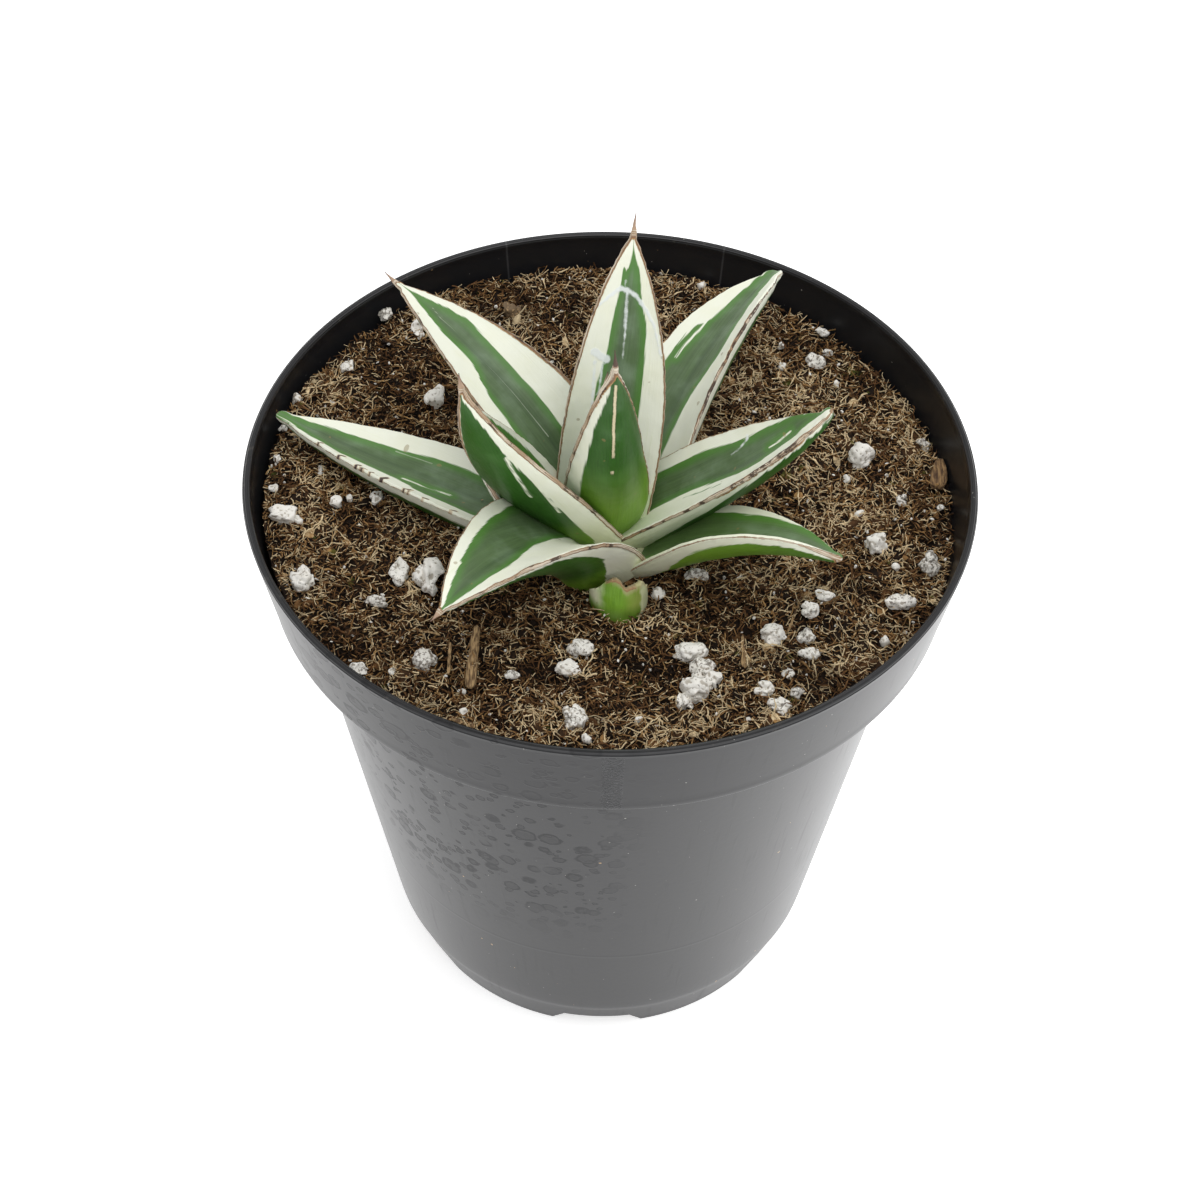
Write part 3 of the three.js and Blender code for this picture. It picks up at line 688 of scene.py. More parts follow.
# Green and cream on each leaf. left and right are where the upper cream bands start, as
# pairs of the place along the leaf and across it (-1 to 1); under_left and under_right are
# the cream widths of the outer face; rim_left and rim_right are how far the rim reaches from
# the middle of the edge. Strokes run between two such places with a width: cream, green,
# ribs or wax over the bands, and scar marks. base is how far the pale foot reaches, keel a
# pale line on the outer face, and dark and spine_dark how dark the rim and the spine are.
PATTERNS = {
    "leaf_bud_inner": dict(
        left=[(0, -0.85), (1, -0.9)], right=[(0, 0.85), (1, 0.9)],
        rim_left=[(0, 0.2), (1, 0.35)], rim_right=[(0, 0.2), (1, 0.35)]),
    "leaf_bud_outer": dict(
        left=[(0, -1.1), (1, -1.1)], right=[(0, 0.8), (1, 0.85)],
        under_left=[(0, -0.3)], under_right=[(0, 2.1), (0.3, 1.9), (0.6, 1.4), (0.85, 0.95),
                                             (1, 0.5)],
        rim_left=[(0, 0.42), (0.5, 0.44), (0.85, 0.5), (0.93, 0.65), (1, 1.05)],
        rim_right=[(0, 0.3), (0.5, 0.34), (0.85, 0.44), (0.93, 0.62), (1, 1.05)],
        keel=[(0.93, 0.32), (0.85, 0.29), (0.75, 0.25), (0.6, 0.2)], keel_dot=[(0.53, 0.19)],
        dark=0.5, base=0.62, spine_dark=0.9),
    "leaf_back": dict(
        left=[(0, -0.6), (0.3, -0.5), (0.5, -0.45), (0.6, -0.35), (0.78, -0.35), (0.86, -0.35),
              (0.88, -0.05), (0.92, 0.05), (0.94, 0.15), (1, 0.2)],
        right=[(0, 0.4), (0.3, 0.45), (0.4, 0.5), (0.5, 0.55), (0.6, 0.6), (0.7, 0.63),
               (0.8, 0.55), (0.86, 0.6), (0.9, 0.45), (0.94, 0.25), (1, 0.2)],
        green=[((0.8, -0.3), (0.87, -0.3), 0.5)],
        wax=[((0.75, -0.95), (0.79, -0.6), 0.5), ((0.79, -0.6), (0.81, -0.3), 0.65),
             ((0.81, -0.3), (0.805, 0), 0.8), ((0.805, 0), (0.79, 0.35), 0.65),
             ((0.79, 0.35), (0.75, 0.65), 0.6), ((0.75, 0.65), (0.7, 0.85), 0.5),
             ((0.7, 0.85), (0.6, 0.95), 0.35), ((0.8, -0.1), (0.835, -0.15), 0.3),
             ((0.8, 0.0), (0.68, 0.06), 0.42), ((0.68, 0.06), (0.58, 0.08), 0.24),
             ((0.6, -0.68), (0.575, -0.3), 1.1), ((0.57, -0.6), (0.42, -0.47), 0.5),
             ((0.56, -0.4), (0.46, -0.36), 0.4)],
        rim_left=[(0, 0.5), (0.4, 0.56), (0.9, 0.6), (1, 0.9)],
        rim_right=[(0, 0.5), (0.4, 0.56), (0.9, 0.6), (1, 0.9)], dark=0.45),
    "leaf_front_left_inner": dict(
        left=[(0, -0.8), (1, -0.9)], right=[(0, 0.9), (1, 1)],
        under_left=[(0, 3.6), (0.3, 3.1), (0.5, 2.4), (0.7, 1.7), (0.85, 1.0), (1, 0.6)],
        under_right=[(0, -0.3), (0.2, -0.3), (0.35, 1.1), (0.9, 1.3), (1, 0.9)],
        under_cream=[((0.68, -0.68), (0.45, -0.4), 0.5), ((0.5, -0.8), (0.33, -0.6), 0.4)],
        rim_left=[(0, 0.25), (0.3, 0.25), (0.9, 0.3), (1, 0.7)],
        rim_right=[(0, 0.4), (0.3, 0.85), (0.45, 1.1), (0.85, 1.1), (1, 1.0)], dark=0.5),
    "leaf_right_upper": dict(
        left=[(0, -0.75), (0.4, -0.75), (0.5, -0.72), (0.6, -0.68), (0.7, -0.8), (0.75, -0.85),
              (0.8, -0.95), (0.85, -1.05), (1, -1.1)],
        right=[(0, 0.4), (0.1, 0.35), (0.15, 0.15), (0.2, 0.08), (0.3, 0.05), (0.4, 0.08),
               (0.5, 0.2), (0.6, 0.35), (0.65, 0.35), (0.7, 0.25), (0.8, 0.15), (0.85, 0.05),
               (0.9, -0.1), (0.95, -0.3), (1, -0.3)],
        under_right=[(0, 3.0), (0.2, 2.6), (0.45, 1.7), (0.6, 1.0), (0.85, 0.7), (1, 0.5)],
        under_left=[(0, 1.2), (1, 0.6)],
        green=[((0.32, 0.2), (0.5, 0.42), 0.3)], cream=[((0.8, -0.35), (0.7, -0.1), 0.25)],
        wax=[((0.61, -0.74), (0.605, -0.66), 0.5), ((0.605, -0.66), (0.57, -0.5), 0.35),
             ((0.57, -0.5), (0.53, -0.42), 0.2)],
        rim_left=[(0, 0.5), (0.7, 0.5), (0.88, 0.4), (0.95, 0.08), (1, 0.08)],
        rim_right=[(0, 0.14), (0.47, 0.18), (0.53, 0.6), (0.6, 0.45), (0.86, 0.55), (0.92, 0.2),
                   (1, 0.1)], dark=0.7),
    "leaf_left_inner": dict(
        left=[(0, -0.9), (1, -0.95)], right=[(0, 0.8), (1, 0.9)],
        under_left=[(0, 0.8), (1, 0.6)], under_right=[(0, 1.3), (1, 0.6)],
        rim_left=[(0, 0.2), (1, 0.4)], rim_right=[(0, 0.2), (1, 0.4)]),
    "leaf_back_left": dict(
        left=[(0, -0.7), (0.4, -0.62), (0.5, -0.6), (0.55, -0.52), (0.6, -0.36), (0.65, -0.3),
              (0.7, -0.32), (0.75, -0.4), (0.8, -0.38), (0.85, -0.3), (0.9, -0.2), (0.95, 0),
              (1, 0.1)],
        right=[(0, 0.3), (0.3, 0.35), (0.5, 0.38), (0.6, 0.45), (0.7, 0.55), (0.75, 0.68),
               (0.8, 0.65), (0.85, 0.6), (0.9, 0.5), (0.95, 0.3), (1, 0.2)],
        ribs=[((0.3, 0.0), (0.8, 0.05), 0.12), ((0.8, 0.05), (0.85, 0.2), 0.1)],
        rim_left=[(0, 0.24), (1, 0.36)],
        rim_right=[(0, 0.6), (0.3, 0.8), (0.6, 0.84), (0.72, 0.55), (1, 0.5)],
        dark=0.45),
    "leaf_back_right": dict(
        left=[(0, -0.75), (0.5, -0.72), (0.6, -0.72), (0.66, -0.68), (0.67, -0.5), (0.8, -0.5),
              (0.88, -0.55), (0.93, -0.9), (1, -1.05)],
        right=[(0, 0.3), (0.2, 0.3), (0.3, 0.3), (0.4, 0.38), (0.5, 0.55), (0.55, 0.6),
               (0.6, 0.55), (0.7, 0.5), (0.8, 0.45), (0.85, 0.35), (0.9, 0.5), (0.95, 0.6),
               (1, 0.8)],
        under_right=[(0, 1.6), (0.5, 1.4), (0.9, 1.0), (1, 0.7)],
        cream=[((0.67, -0.56), (0.5, -0.58), 0.3)],
        rim_left=[(0, 0.1), (0.5, 0.14), (0.55, 0.8), (0.6, 0.42), (0.66, 0.46), (0.8, 0.42),
                  (0.86, 0.1), (1, 0.1)],
        rim_right=[(0, 0.1), (0.22, 0.1), (0.3, 0.4), (0.5, 0.22), (0.6, 0.34), (0.68, 0.28),
                   (0.74, 0.08), (1, 0.08)], dark=0.8),
    "leaf_front_left": dict(
        left=[(0, 0.3), (0.3, 0.1), (0.4, 0), (0.5, -0.05), (0.6, -0.22), (0.7, -0.42),
              (0.75, -0.45), (0.8, -0.45), (0.85, -0.5), (0.9, -0.55), (0.95, -0.7), (1, -0.9)],
        right=[(0, 0.9), (0.4, 0.85), (0.5, 0.8), (0.6, 0.78), (0.7, 0.75), (0.8, 0.68),
               (0.85, 0.62), (0.9, 0.6), (0.93, 0.45), (0.96, 0.2), (1, 0.1)],
        under_left=[(0, 4.2), (0.15, 3.2), (0.3, 1.7), (0.45, 1.0), (0.6, 0.7), (1, 0.6)],
        under_right=[(0, 1.9), (1, 0.8)],
        rim_left=[(0, 0.24), (0.3, 0.2), (0.64, 0.24), (0.7, 0.6), (0.75, 0.26), (0.8, 0.42),
                  (0.85, 0.26), (1, 0.36)],
        rim_right=[(0, 0.45), (1, 0.5)], dark=0.5),
    "leaf_right_lower": dict(
        left=[(0, -0.8), (0.45, -0.8), (0.5, -0.78), (0.6, -0.85), (0.7, -0.9), (0.8, -1.02),
              (1, -1.1)],
        right=[(0, 0.6), (0.8, 0.6), (1, 0.9)],
        under_right=[(0, 5.0), (0.15, 3.6), (0.3, 1.9), (0.45, 1.2), (0.7, 0.95), (0.85, 0.8),
                     (1, 0.6)],
        under_left=[(0, 1.4), (1, 0.6)],
        rim_left=[(0, 0.06), (1, 0.1)],
        rim_right=[(0, 0.08), (0.5, 0.06), (0.88, 0.07), (0.93, 0.3), (1, 0.6)], dark=0.0,
        base=1.25),
    "leaf_left": dict(
        left=[(0, -0.8), (0.3, -0.75), (0.5, -0.72), (0.55, -0.6), (0.6, -0.62), (0.7, -0.68),
              (0.8, -0.78), (0.9, -0.85), (0.95, -1.0), (1, -1.1)],
        right=[(0, 0.5), (0.35, 0.55), (0.4, 0.6), (0.5, 0.6), (0.6, 0.52), (0.7, 0.5),
               (0.8, 0.5), (0.85, 0.55), (0.9, 0.5), (0.95, 0.7), (1, 1)],
        under_left=[(0, 1.3), (0.6, 1.15), (0.8, 0.95), (1, 0.6)],
        under_right=[(0, 1.2), (1, 0.6)],
        cream=[((0.55, -0.45), (0.4, -0.3), 0.4)], ribs=[((0.62, 0.44), (0.5, 0.43), 0.2)],
        scars=[((0.825, -1.0), (0.815, -0.84), 0.3), ((0.745, -1.0), (0.73, -0.84), 0.38),
               ((0.682, -1.0), (0.672, -0.88), 0.42), ((0.664, -1.0), (0.65, -0.94), 0.3),
               ((0.634, -1.0), (0.625, -0.9), 0.3), ((0.592, -1.0), (0.582, -0.8), 0.55),
               ((0.518, -1.0), (0.5, -0.88), 0.3), ((0.5, -1.0), (0.496, -0.84), 0.26),
               ((0.455, -0.98), (0.44, -0.93), 0.3), ((0.365, -0.98), (0.35, -0.9), 0.36)],
        rim_left=[(0, 0.03), (1, 0.05)], rim_right=[(0, 0.05), (1, 0.08)], dark=0.0),
}


def eased(pairs, t, spread):
    """Values from pairs of place and value, with the corners between them rounded."""
    places, values = zip(*pairs)
    fine = np.linspace(-0.2, 1.2, 700)
    reach = int(4 * spread * 500)
    weights = np.exp(-0.5 * ((np.arange(-reach, reach + 1) / 500) / spread) ** 2)
    padded = np.pad(np.interp(fine, places, values), reach, mode="edge")
    smooth = np.convolve(padded, weights / weights.sum(), mode="valid")
    return np.interp(t, fine, smooth)


def leaf_frames(leaf, t):
    """The middle line of a leaf's channel and its directions at each t."""
    def directions(share):
        climb = np.radians(leaf["rise"][0] + (leaf["rise"][1] - leaf["rise"][0]) * share
                           + leaf["bow"] * 4 * share * (1 - share))
        heading = np.radians(leaf["az"] + leaf["swing"] * share)
        along = np.stack([np.cos(heading) * np.cos(climb), np.sin(heading) * np.cos(climb),
                          np.sin(climb)], 1)
        side = np.stack([np.sin(heading), -np.cos(heading), 0 * heading], 1)
        return along, side

    start = math.radians(leaf["az"])
    foot = np.array([
        PLANT_AXIS[0] + leaf["out"] * math.cos(start) + leaf["aside"] * math.sin(start),
        PLANT_AXIS[1] + leaf["out"] * math.sin(start) - leaf["aside"] * math.cos(start),
        leaf["z"]])
    fine = np.linspace(0, 1, 401)
    along, _ = directions((fine[1:] + fine[:-1]) / 2)
    line = np.vstack([np.zeros(3), np.cumsum(along, 0) * leaf["length"] / 400]) + foot
    back = leaf.get("back", 0.0)
    fine = np.append(-back / leaf["length"], fine)
    line = np.vstack([foot - directions(np.zeros(1))[0] * back, line])
    points = np.stack([np.interp(t, fine, line[:, axis]) for axis in range(3)], 1)
    along, side = directions(t)
    up = np.cross(side, along)
    inwards, sidewards = leaf.get("tuck", (0.0, 0.0))
    tucked = np.clip((0.5 - t) / 0.35, 0, 1)
    tucked = (tucked * tucked * (3 - 2 * tucked))[:, None]
    points = points + (up * inwards + side * sidewards) * tucked
    first, middle, last = leaf["roll"]
    turn = np.radians(first * (1 - t) + last * t + middle * 4 * t * (1 - t))[:, None]
    rolled_side = np.cos(turn) * side + np.sin(turn) * up
    rolled_up = np.cos(turn) * up - np.sin(turn) * side
    return points, along, rolled_side, rolled_up


def leaf_half_width(leaf, t):
    widest, base, power = leaf["widest"], leaf["base"], leaf["power"]
    near = base + (1 - base) * np.sin(np.clip(t / widest, 0, 1) * math.pi / 2)
    far = 1 - np.clip((t - widest) / (1 - widest), 0, 1) ** power
    half = leaf["width"] / 2 * np.where(t < widest, near, far)
    return np.maximum(half, leaf.get("blunt", TIP_HALF_WIDTH))


def section_order():
    """Place across, kind of face and turn of the edge for each point of a section."""
    upper = np.sin(np.linspace(-math.pi / 2, math.pi / 2, ACROSS_UPPER))
    outer = np.sin(np.linspace(math.pi / 2, -math.pi / 2, ACROSS_OUTER))
    bend = np.radians(np.linspace(90, -90, ROUND_EDGE + 2)[1:-1])
    across = np.concatenate([upper, np.ones(ROUND_EDGE), outer, -np.ones(ROUND_EDGE)])
    face = np.concatenate([np.ones(ACROSS_UPPER), np.full(ROUND_EDGE, 0.5),
                           np.zeros(ACROSS_OUTER), np.full(ROUND_EDGE, 0.5)])
    edge = np.concatenate([np.full(ACROSS_UPPER, math.pi / 2), bend,
                           np.full(ACROSS_OUTER, -math.pi / 2), bend[::-1]])
    return across, face, edge


def stroke_reach(along, across, strokes, length, half):
    """Half the width less the distance to the nearest stroke, in millimetres."""
    best = np.full(np.broadcast(along, across).shape, OUTSIDE)
    for (t0, s0), (t1, s1), width in strokes:
        h0 = np.interp(t0, half[0], half[1])
        h1 = np.interp(t1, half[0], half[1])
        first = np.array([t0 * length, s0 * h0])
        step = np.array([t1 * length, s1 * h1]) - first
        share = ((along - first[0]) * step[0] + (across - first[1]) * step[1]) / (step @ step)
        share = np.clip(share, 0, 1)
        gap = np.hypot(along - first[0] - share * step[0], across - first[1] - share * step[1])
        best = np.maximum(best, width / 2 - gap)
    return best


def leaf_sections(leaf, t, half):
    """How far the points of each section stand to the side and above the channel."""
    s, face, bend = [row[None, :] for row in section_order()]
    cup = (leaf["cup"] * np.maximum(0, half - TIP_THICKNESS))[:, None]
    thick = TIP_THICKNESS + (leaf["thick"] - TIP_THICKNESS) * (1 - t) ** 0.6
    thick = (thick * (1 - leaf.get("waist", 0.0) * np.clip(1 - t / 0.45, 0, 1)))[:, None]
    top = cup * np.abs(s) ** 1.5
    hollow = (thick - EDGE_THICKNESS) * np.clip(1 - s * s, 0, 1) ** 0.7
    level = np.where(face == 1, top, top - EDGE_THICKNESS - hollow)
    round_edge = face == 0.5
    level = np.where(round_edge, top - EDGE_THICKNESS / 2 + EDGE_THICKNESS / 2 * np.sin(bend),
                     level)
    bulge = np.where(round_edge, np.sign(s) * EDGE_BULGE * np.cos(bend), 0)
    sideways = s * (half - EDGE_BULGE)[:, None] + bulge

    tip_gap = ((1 - t) * leaf["length"])[:, None]
    if "blunt" in leaf:
        closing = np.clip(tip_gap / (1.3 * leaf["blunt"]), 0.002, 1)
        closing = np.sqrt(1 - (1 - closing) ** 2)
        sideways = sideways * closing
        level = (level + TIP_THICKNESS / 2) * closing - TIP_THICKNESS / 2
    else:
        morph = np.clip(1 - tip_gap / 2.4, 0, 1) ** 1.6
        angle = np.arctan2(level + TIP_THICKNESS / 2, sideways)
        sideways = sideways * (1 - morph) + SPINE_RADIUS * np.cos(angle) * morph
        level = level * (1 - morph) + (SPINE_RADIUS * np.sin(angle) - TIP_THICKNESS / 2) * morph
    return sideways, level


def leaf_values(leaf, pattern, t, half, run, rim_scale):
    """The numbers that the leaf's material paints by, for each point of each ring."""
    length, spine = leaf["length"], leaf.get("spine", NO_SPINE)
    s, face, bend = [row[None, :] for row in section_order()]
    shares = np.linspace(0, 1, SPINE_STATIONS + 1)[1:]
    every_t = np.append(t, np.ones(SPINE_STATIONS))[:, None]
    every_half = np.append(half, half[-1] * (1 - shares * 0.8))[:, None]
    to_tip = np.append((1 - t) * length, -shares * spine)[:, None]
    keel = pattern.get("keel", [])
    keel = [(one, two, KEEL_WIDTH) for one, two in zip(keel, keel[1:])]
    for t_dot, s_dot in pattern.get("keel_dot", []):
        keel.append(((t_dot, s_dot), (t_dot - 0.012, s_dot), 0.45))
    pattern = dict(pattern, keel=keel)

    def limit(key, spread, plain=None):
        """A width or a place across, as it runs along the leaf."""
        return eased(pattern.get(key, plain), every_t[:, 0], spread)[:, None]

    def within(key):
        """How far each point is inside the pattern's strokes of one kind."""
        return stroke_reach(every_t * length, s * every_half, pattern.get(key, []), length,
                            (t, half))

    on_upper = face >= 0.5
    upper_cream = np.maximum(limit("left", 0.012) - s, s - limit("right", 0.012)) * every_half
    upper_cream = np.minimum(np.maximum(upper_cream, within("cream")), -within("green"))
    turned_edge = EDGE_ARC - EDGE_ARC * (1 - np.abs(bend) / (math.pi / 2))
    under_cream = np.maximum(
        limit("under_left", 0.03, [(0, 0.4)]) - (turned_edge + (1 + s) * every_half * 1.12),
        limit("under_right", 0.03, [(0, 0.4)]) - (turned_edge + (1 - s) * every_half * 1.12))
    under_cream = np.maximum(under_cream, within("under_cream"))
    rim = np.where(s < 0, limit("rim_left", 0.02), limit("rim_right", 0.02)) * rim_scale
    rim = rim + RIM_SPREAD * np.clip((rim - 0.06) / 0.08, 0, 1) * np.clip(1 - rim / 0.55, 0, 1)
    values = {
        "across": s * every_half,
        "run": run,
        "face": face,
        "cream": np.where(on_upper & (bend >= -0.01), upper_cream, under_cream),
        "rim": rim,
        "edge": np.minimum(turned_edge + (1 - np.abs(s)) * every_half,
                           np.maximum(to_tip, 0) * 0.6 + 0.02),
        "dark": pattern.get("dark", 0.3) * np.clip(to_tip / 3 - 0.3, 0, 1),
        "foot": np.clip(1 - every_t / pattern.get("base", 0.3), 0, 1),
        "core": np.clip(1 - np.abs(s) * 1.25, 0, 1),
        "ribs": np.where(on_upper, within("ribs"), OUTSIDE),
        "wax": np.where(on_upper, within("wax"), OUTSIDE),
        "scar": np.where(on_upper, within("scars"), OUTSIDE),
        "keel": np.where(on_upper, OUTSIDE, within("keel")),
        "horn": np.clip(-to_tip / spine, 0, 1) + pattern.get("spine_dark", 0.0) * (to_tip < 0),
    }
    for key, grid in values.items():
        grid = np.broadcast_to(grid, upper_cream.shape)
        ends = (0, 1) if key == "horn" else (grid[0, 0], grid[-1, 0])
        values[key] = np.append(grid.ravel(), ends)
    return values


def leaf_mesh(name, leaf, pattern, order, rim_scale):
    """One leaf with its spine, from its foot to its tip."""
    length, spine = leaf["length"], leaf.get("spine", NO_SPINE)
    start = -leaf.get("back", 0.0) / length - 1e-9
    t = 1 - (1 - start) * (1 - np.linspace(0, 1, STATIONS)) ** TIP_CROWDING
    points, along, side, up = leaf_frames(leaf, t)
    half = leaf_half_width(leaf, t)
    sideways, level = leaf_sections(leaf, t, half)
    rings = list(points[:, None] + side[:, None] * sideways[..., None]
                 + up[:, None] * level[..., None])
    shares = np.linspace(0, 1, SPINE_STATIONS + 1)[1:]
    for share in shares:
        shrink = (1 - share) ** 1.5 * 0.84 + 0.16
        lift = 0.1 * spine * share ** 2
        rings.append(points[-1] + along[-1] * spine * share + up[-1] * (lift - TIP_THICKNESS / 2)
                     + side[-1] * (sideways[-1] * shrink)[:, None]
                     + up[-1] * ((level[-1] + TIP_THICKNESS / 2) * shrink)[:, None])
    rings = np.array(rings)

    s = section_order()[0][None, :]
    run = np.append(t * length, length + shares * spine)[:, None]

    def edge_lumps(shift, size, seed):
        places = np.broadcast_arrays(run, s * 6 + shift, 0 * s)
        return lumps(np.stack(places, -1), size, seed + order)

    wave = lumps(rings, 2.6, 40 + order) * 0.09 + lumps(rings, 0.9, 60 + order) * 0.03
    rough_edge = edge_lumps(20, 0.7, 80) * 0.07 + edge_lumps(40, 0.28, 90) * 0.03
    every_up = np.concatenate([up, np.repeat(up[-1:], SPINE_STATIONS, 0)])
    every_side = np.concatenate([side, np.repeat(side[-1:], SPINE_STATIONS, 0)])
    calm = np.append(np.ones(STATIONS), np.linspace(1, 0, SPINE_STATIONS))[:, None]
    fringe = np.clip((np.abs(s) - 0.93) / 0.07, 0, 1)
    rings = rings + every_up[:, None] * (wave * calm)[..., None]
    rings = rings + every_side[:, None] * (rough_edge * fringe * np.sign(s) * calm)[..., None]

    total, count = rings.shape[:2]
    faces = [tuple(reversed(face)) for face in wound(total, count)]
    flat = rings.reshape(-1, 3)
    foot = flat[:count].mean(0)
    tip = flat[-count:].mean(0) + along[-1] * TIP_OFFSET
    first, last = total * count, total * count + 1
    for step in range(count):
        after = (step + 1) % count
        faces.append((first, step, after))
        faces.append((last, first - count + after, first - count + step))
    values = leaf_values(leaf, pattern, t, half, run + LEAF_SPACING * order, rim_scale)
    mesh = mesh_from(name, np.vstack([flat, foot, tip]), faces, values)
    turn_outwards(mesh)
    return mesh


def leaf_material(looks):
    """Leaf skin: green channel and keel, cream bands, bloom and a horny rim."""
    material, wires = new_material("leaf_skin")
    across, run = stored(wires, "across"), stored(wires, "run")
    foot, face = stored(wires, "foot"), stored(wires, "face")
    edge, rim, dark = stored(wires, "edge"), stored(wires, "rim"), stored(wires, "dark")
    place = joined(across, run, face * 7.0)
    streak = noise(joined(across * 2.4, run * 0.1, face * 7.0), 1.0)
    hair = noise(joined(across * 7.0, run * 0.3, face * 7.0), 1.0, detail=2.0)
    cloud = noise(place, 5.0)
    grain = noise(place, 0.45, detail=2.0)

    reach = stored(wires, "cream") + (streak - 0.5) * 0.9 + (hair - 0.5) * 0.3
    cream = fade(reach, -0.12, 0.12)
    fresh_edge = fade(reach + (cloud - 0.5) * 1.2, -1.7, -0.15)
    outer = 1 - fade(face, 0.2, 0.6)
    upper = 1 - outer
    core = stored(wires, "core")

    upper_green = layered(
        blend(fade(streak, 0.3, 0.7) * 0.8, looks.upper_green, dimmed(looks.upper_green, 0.7)),
        (fade(cloud, 0.4, 0.8) * fade(core, 0.1, 0.6) * 0.4, looks.bloom),
        (fade(core, 0.84, 1.0) * 0.28, "#2c402a"), (fresh_edge * 0.75, "#4c7f2d"))
    outer_green = layered(
        blend(fade(hair, 0.3, 0.75) * 0.8, looks.outer_green, dimmed(looks.outer_green, 0.72)),
        (fade(cloud, 0.5, 0.8) * 0.35, "#4f7a3c"))
    foot_green = blend(streak, looks.base_green, dimmed(looks.base_green, 0.72))
    green = layered(upper_green, (outer, outer_green),
                    (fade(foot, 0.05, 0.75) * (outer * 0.72 + 0.12), foot_green))
    cream_colour = layered(
        blend(fade(cloud, 0.35, 0.75) * 0.4, looks.cream, "#e3e4c8"),
        (fade(foot, 0.1, 0.9) * 0.45, "#dfe3b8"), (fade(streak, 0.55, 0.8) * 0.25, "#d4dcae"))

    rib = fade(stored(wires, "ribs") + (hair - 0.5) * 0.12, -0.08, 0.04)
    wax = fade(stored(wires, "wax") + (noise(place, 0.8) - 0.5) * 0.5, -0.12, 0.2)
    keel = fade(stored(wires, "keel") + (grain - 0.5) * 0.16, -0.06, 0.07)

    ragged = edge + (noise(place, 0.7) - 0.5) * 0.26
    share = ragged / most(rim, 0.03)
    on_rim = 1 - fade(share, 0.92, 1.1)
    amber = fade(share, 0.8, 0.95)
    lengthwise = noise(joined(edge * 7.0, run * 0.12, 9.0), 1.0)
    patch = noise(joined(run * 0.38, edge * 1.2, 3.0), 1.0, detail=5.0, roughness=0.7)
    patch = fade(patch + dark * 0.24, 0.66, 0.72)
    rim_colour = layered(
        blend(fade(lengthwise, 0.4, 0.6), "#d6cbb8", "#9c8062"),
        (band(share, 0.52, 0.68, 0.86, 0.98) * 0.85, blend(grain, "#8a6240", "#5c3e28")),
        (amber * 0.7, "#bd8a42"), (patch * (1 - amber * 0.5) * 0.92, "#3a281d"))

    fleck = fade(noise(place, 1.3, detail=0.0), 0.83, 0.86) * fade(edge, 0.3, 0.8)
    scar = stored(wires, "scar") + (grain - 0.5) * 0.2
    horn = stored(wires, "horn")
    horn_colour = horn.node("ShaderNodeValToRGB", {"stops": [
        (0.0, "#b0957c"), (0.5, "#a38874"), (0.8, "#8a7061"), (1.0, "#5a463b")]}, {0: horn})
    colour = layered(
        green, (cream, cream_colour), (rib * 0.55, "#c3cdb4"), (wax * 0.85, "#e3e8e7"),
        (keel, "#d6c9a6"), (on_rim, rim_colour), (fleck * 0.5, "#8f7a4c"),
        (fade(scar, -0.16, -0.02) * 0.8, "#c7b08a"), (fade(scar, -0.03, 0.06), "#4a3c38"),
        (fade(horn, 0.0, 0.03), horn_colour))

    rough = (0.38 + upper * 0.1 - cream * 0.02 + (cloud - 0.5) * 0.14 + on_rim * 0.25
             + wax * 0.2)
    relief = (hair * 0.25 + streak * 0.3 + grain * 0.1 + on_rim * (0.5 + grain * 0.8)
              + keel * 1.3 + wax * 0.35 + rib * 0.3)
    close_material(wires, colour, rough, height=relief, depth=0.00012,
                   Specular_IOR_Level=0.45)
    return material


class AGAVE_OT_leaves(bpy.types.Operator):
    """Makes every leaf with its cream bands, horny rim and spine"""
    bl_idname = "agave.leaves"
    bl_label = "Leaves"

    def execute(self, context):
        looks = context.scene.agave_leaf
        material = leaf_material(looks)
        for order, (node, leaf) in enumerate(LEAVES.items()):
            mesh = leaf_mesh("agave_" + node, leaf, PATTERNS[node], order, looks.rim)
            place_piece(mesh, "agave_" + node, material, [node])
        return {"FINISHED"}


# The torn foot of an old leaf: its middle line, how far its shell stands from it, and the
# height of its torn edge from left to right, in millimetres
STUMP_MIDDLE = (1.5, -18.4)
STUMP_REACH = (4.1, 3.7)
STUMP_FOOT = 84.0
STUMP_LEAN = 0.45
STUMP_ROWS = 44
STUMP_HALF = 90
STUMP_EDGE = [(-2.7, 88.6), (-2.4, 89.6), (-1.9, 90.3), (-0.6, 91.3), (0.85, 92.1), (1.5, 91.7),
              (2.1, 91.0), (2.7, 90.5), (3.4, 90.8), (4.2, 91.1), (4.9, 91.3), (5.3, 91.6),
              (5.5, 90.3)]


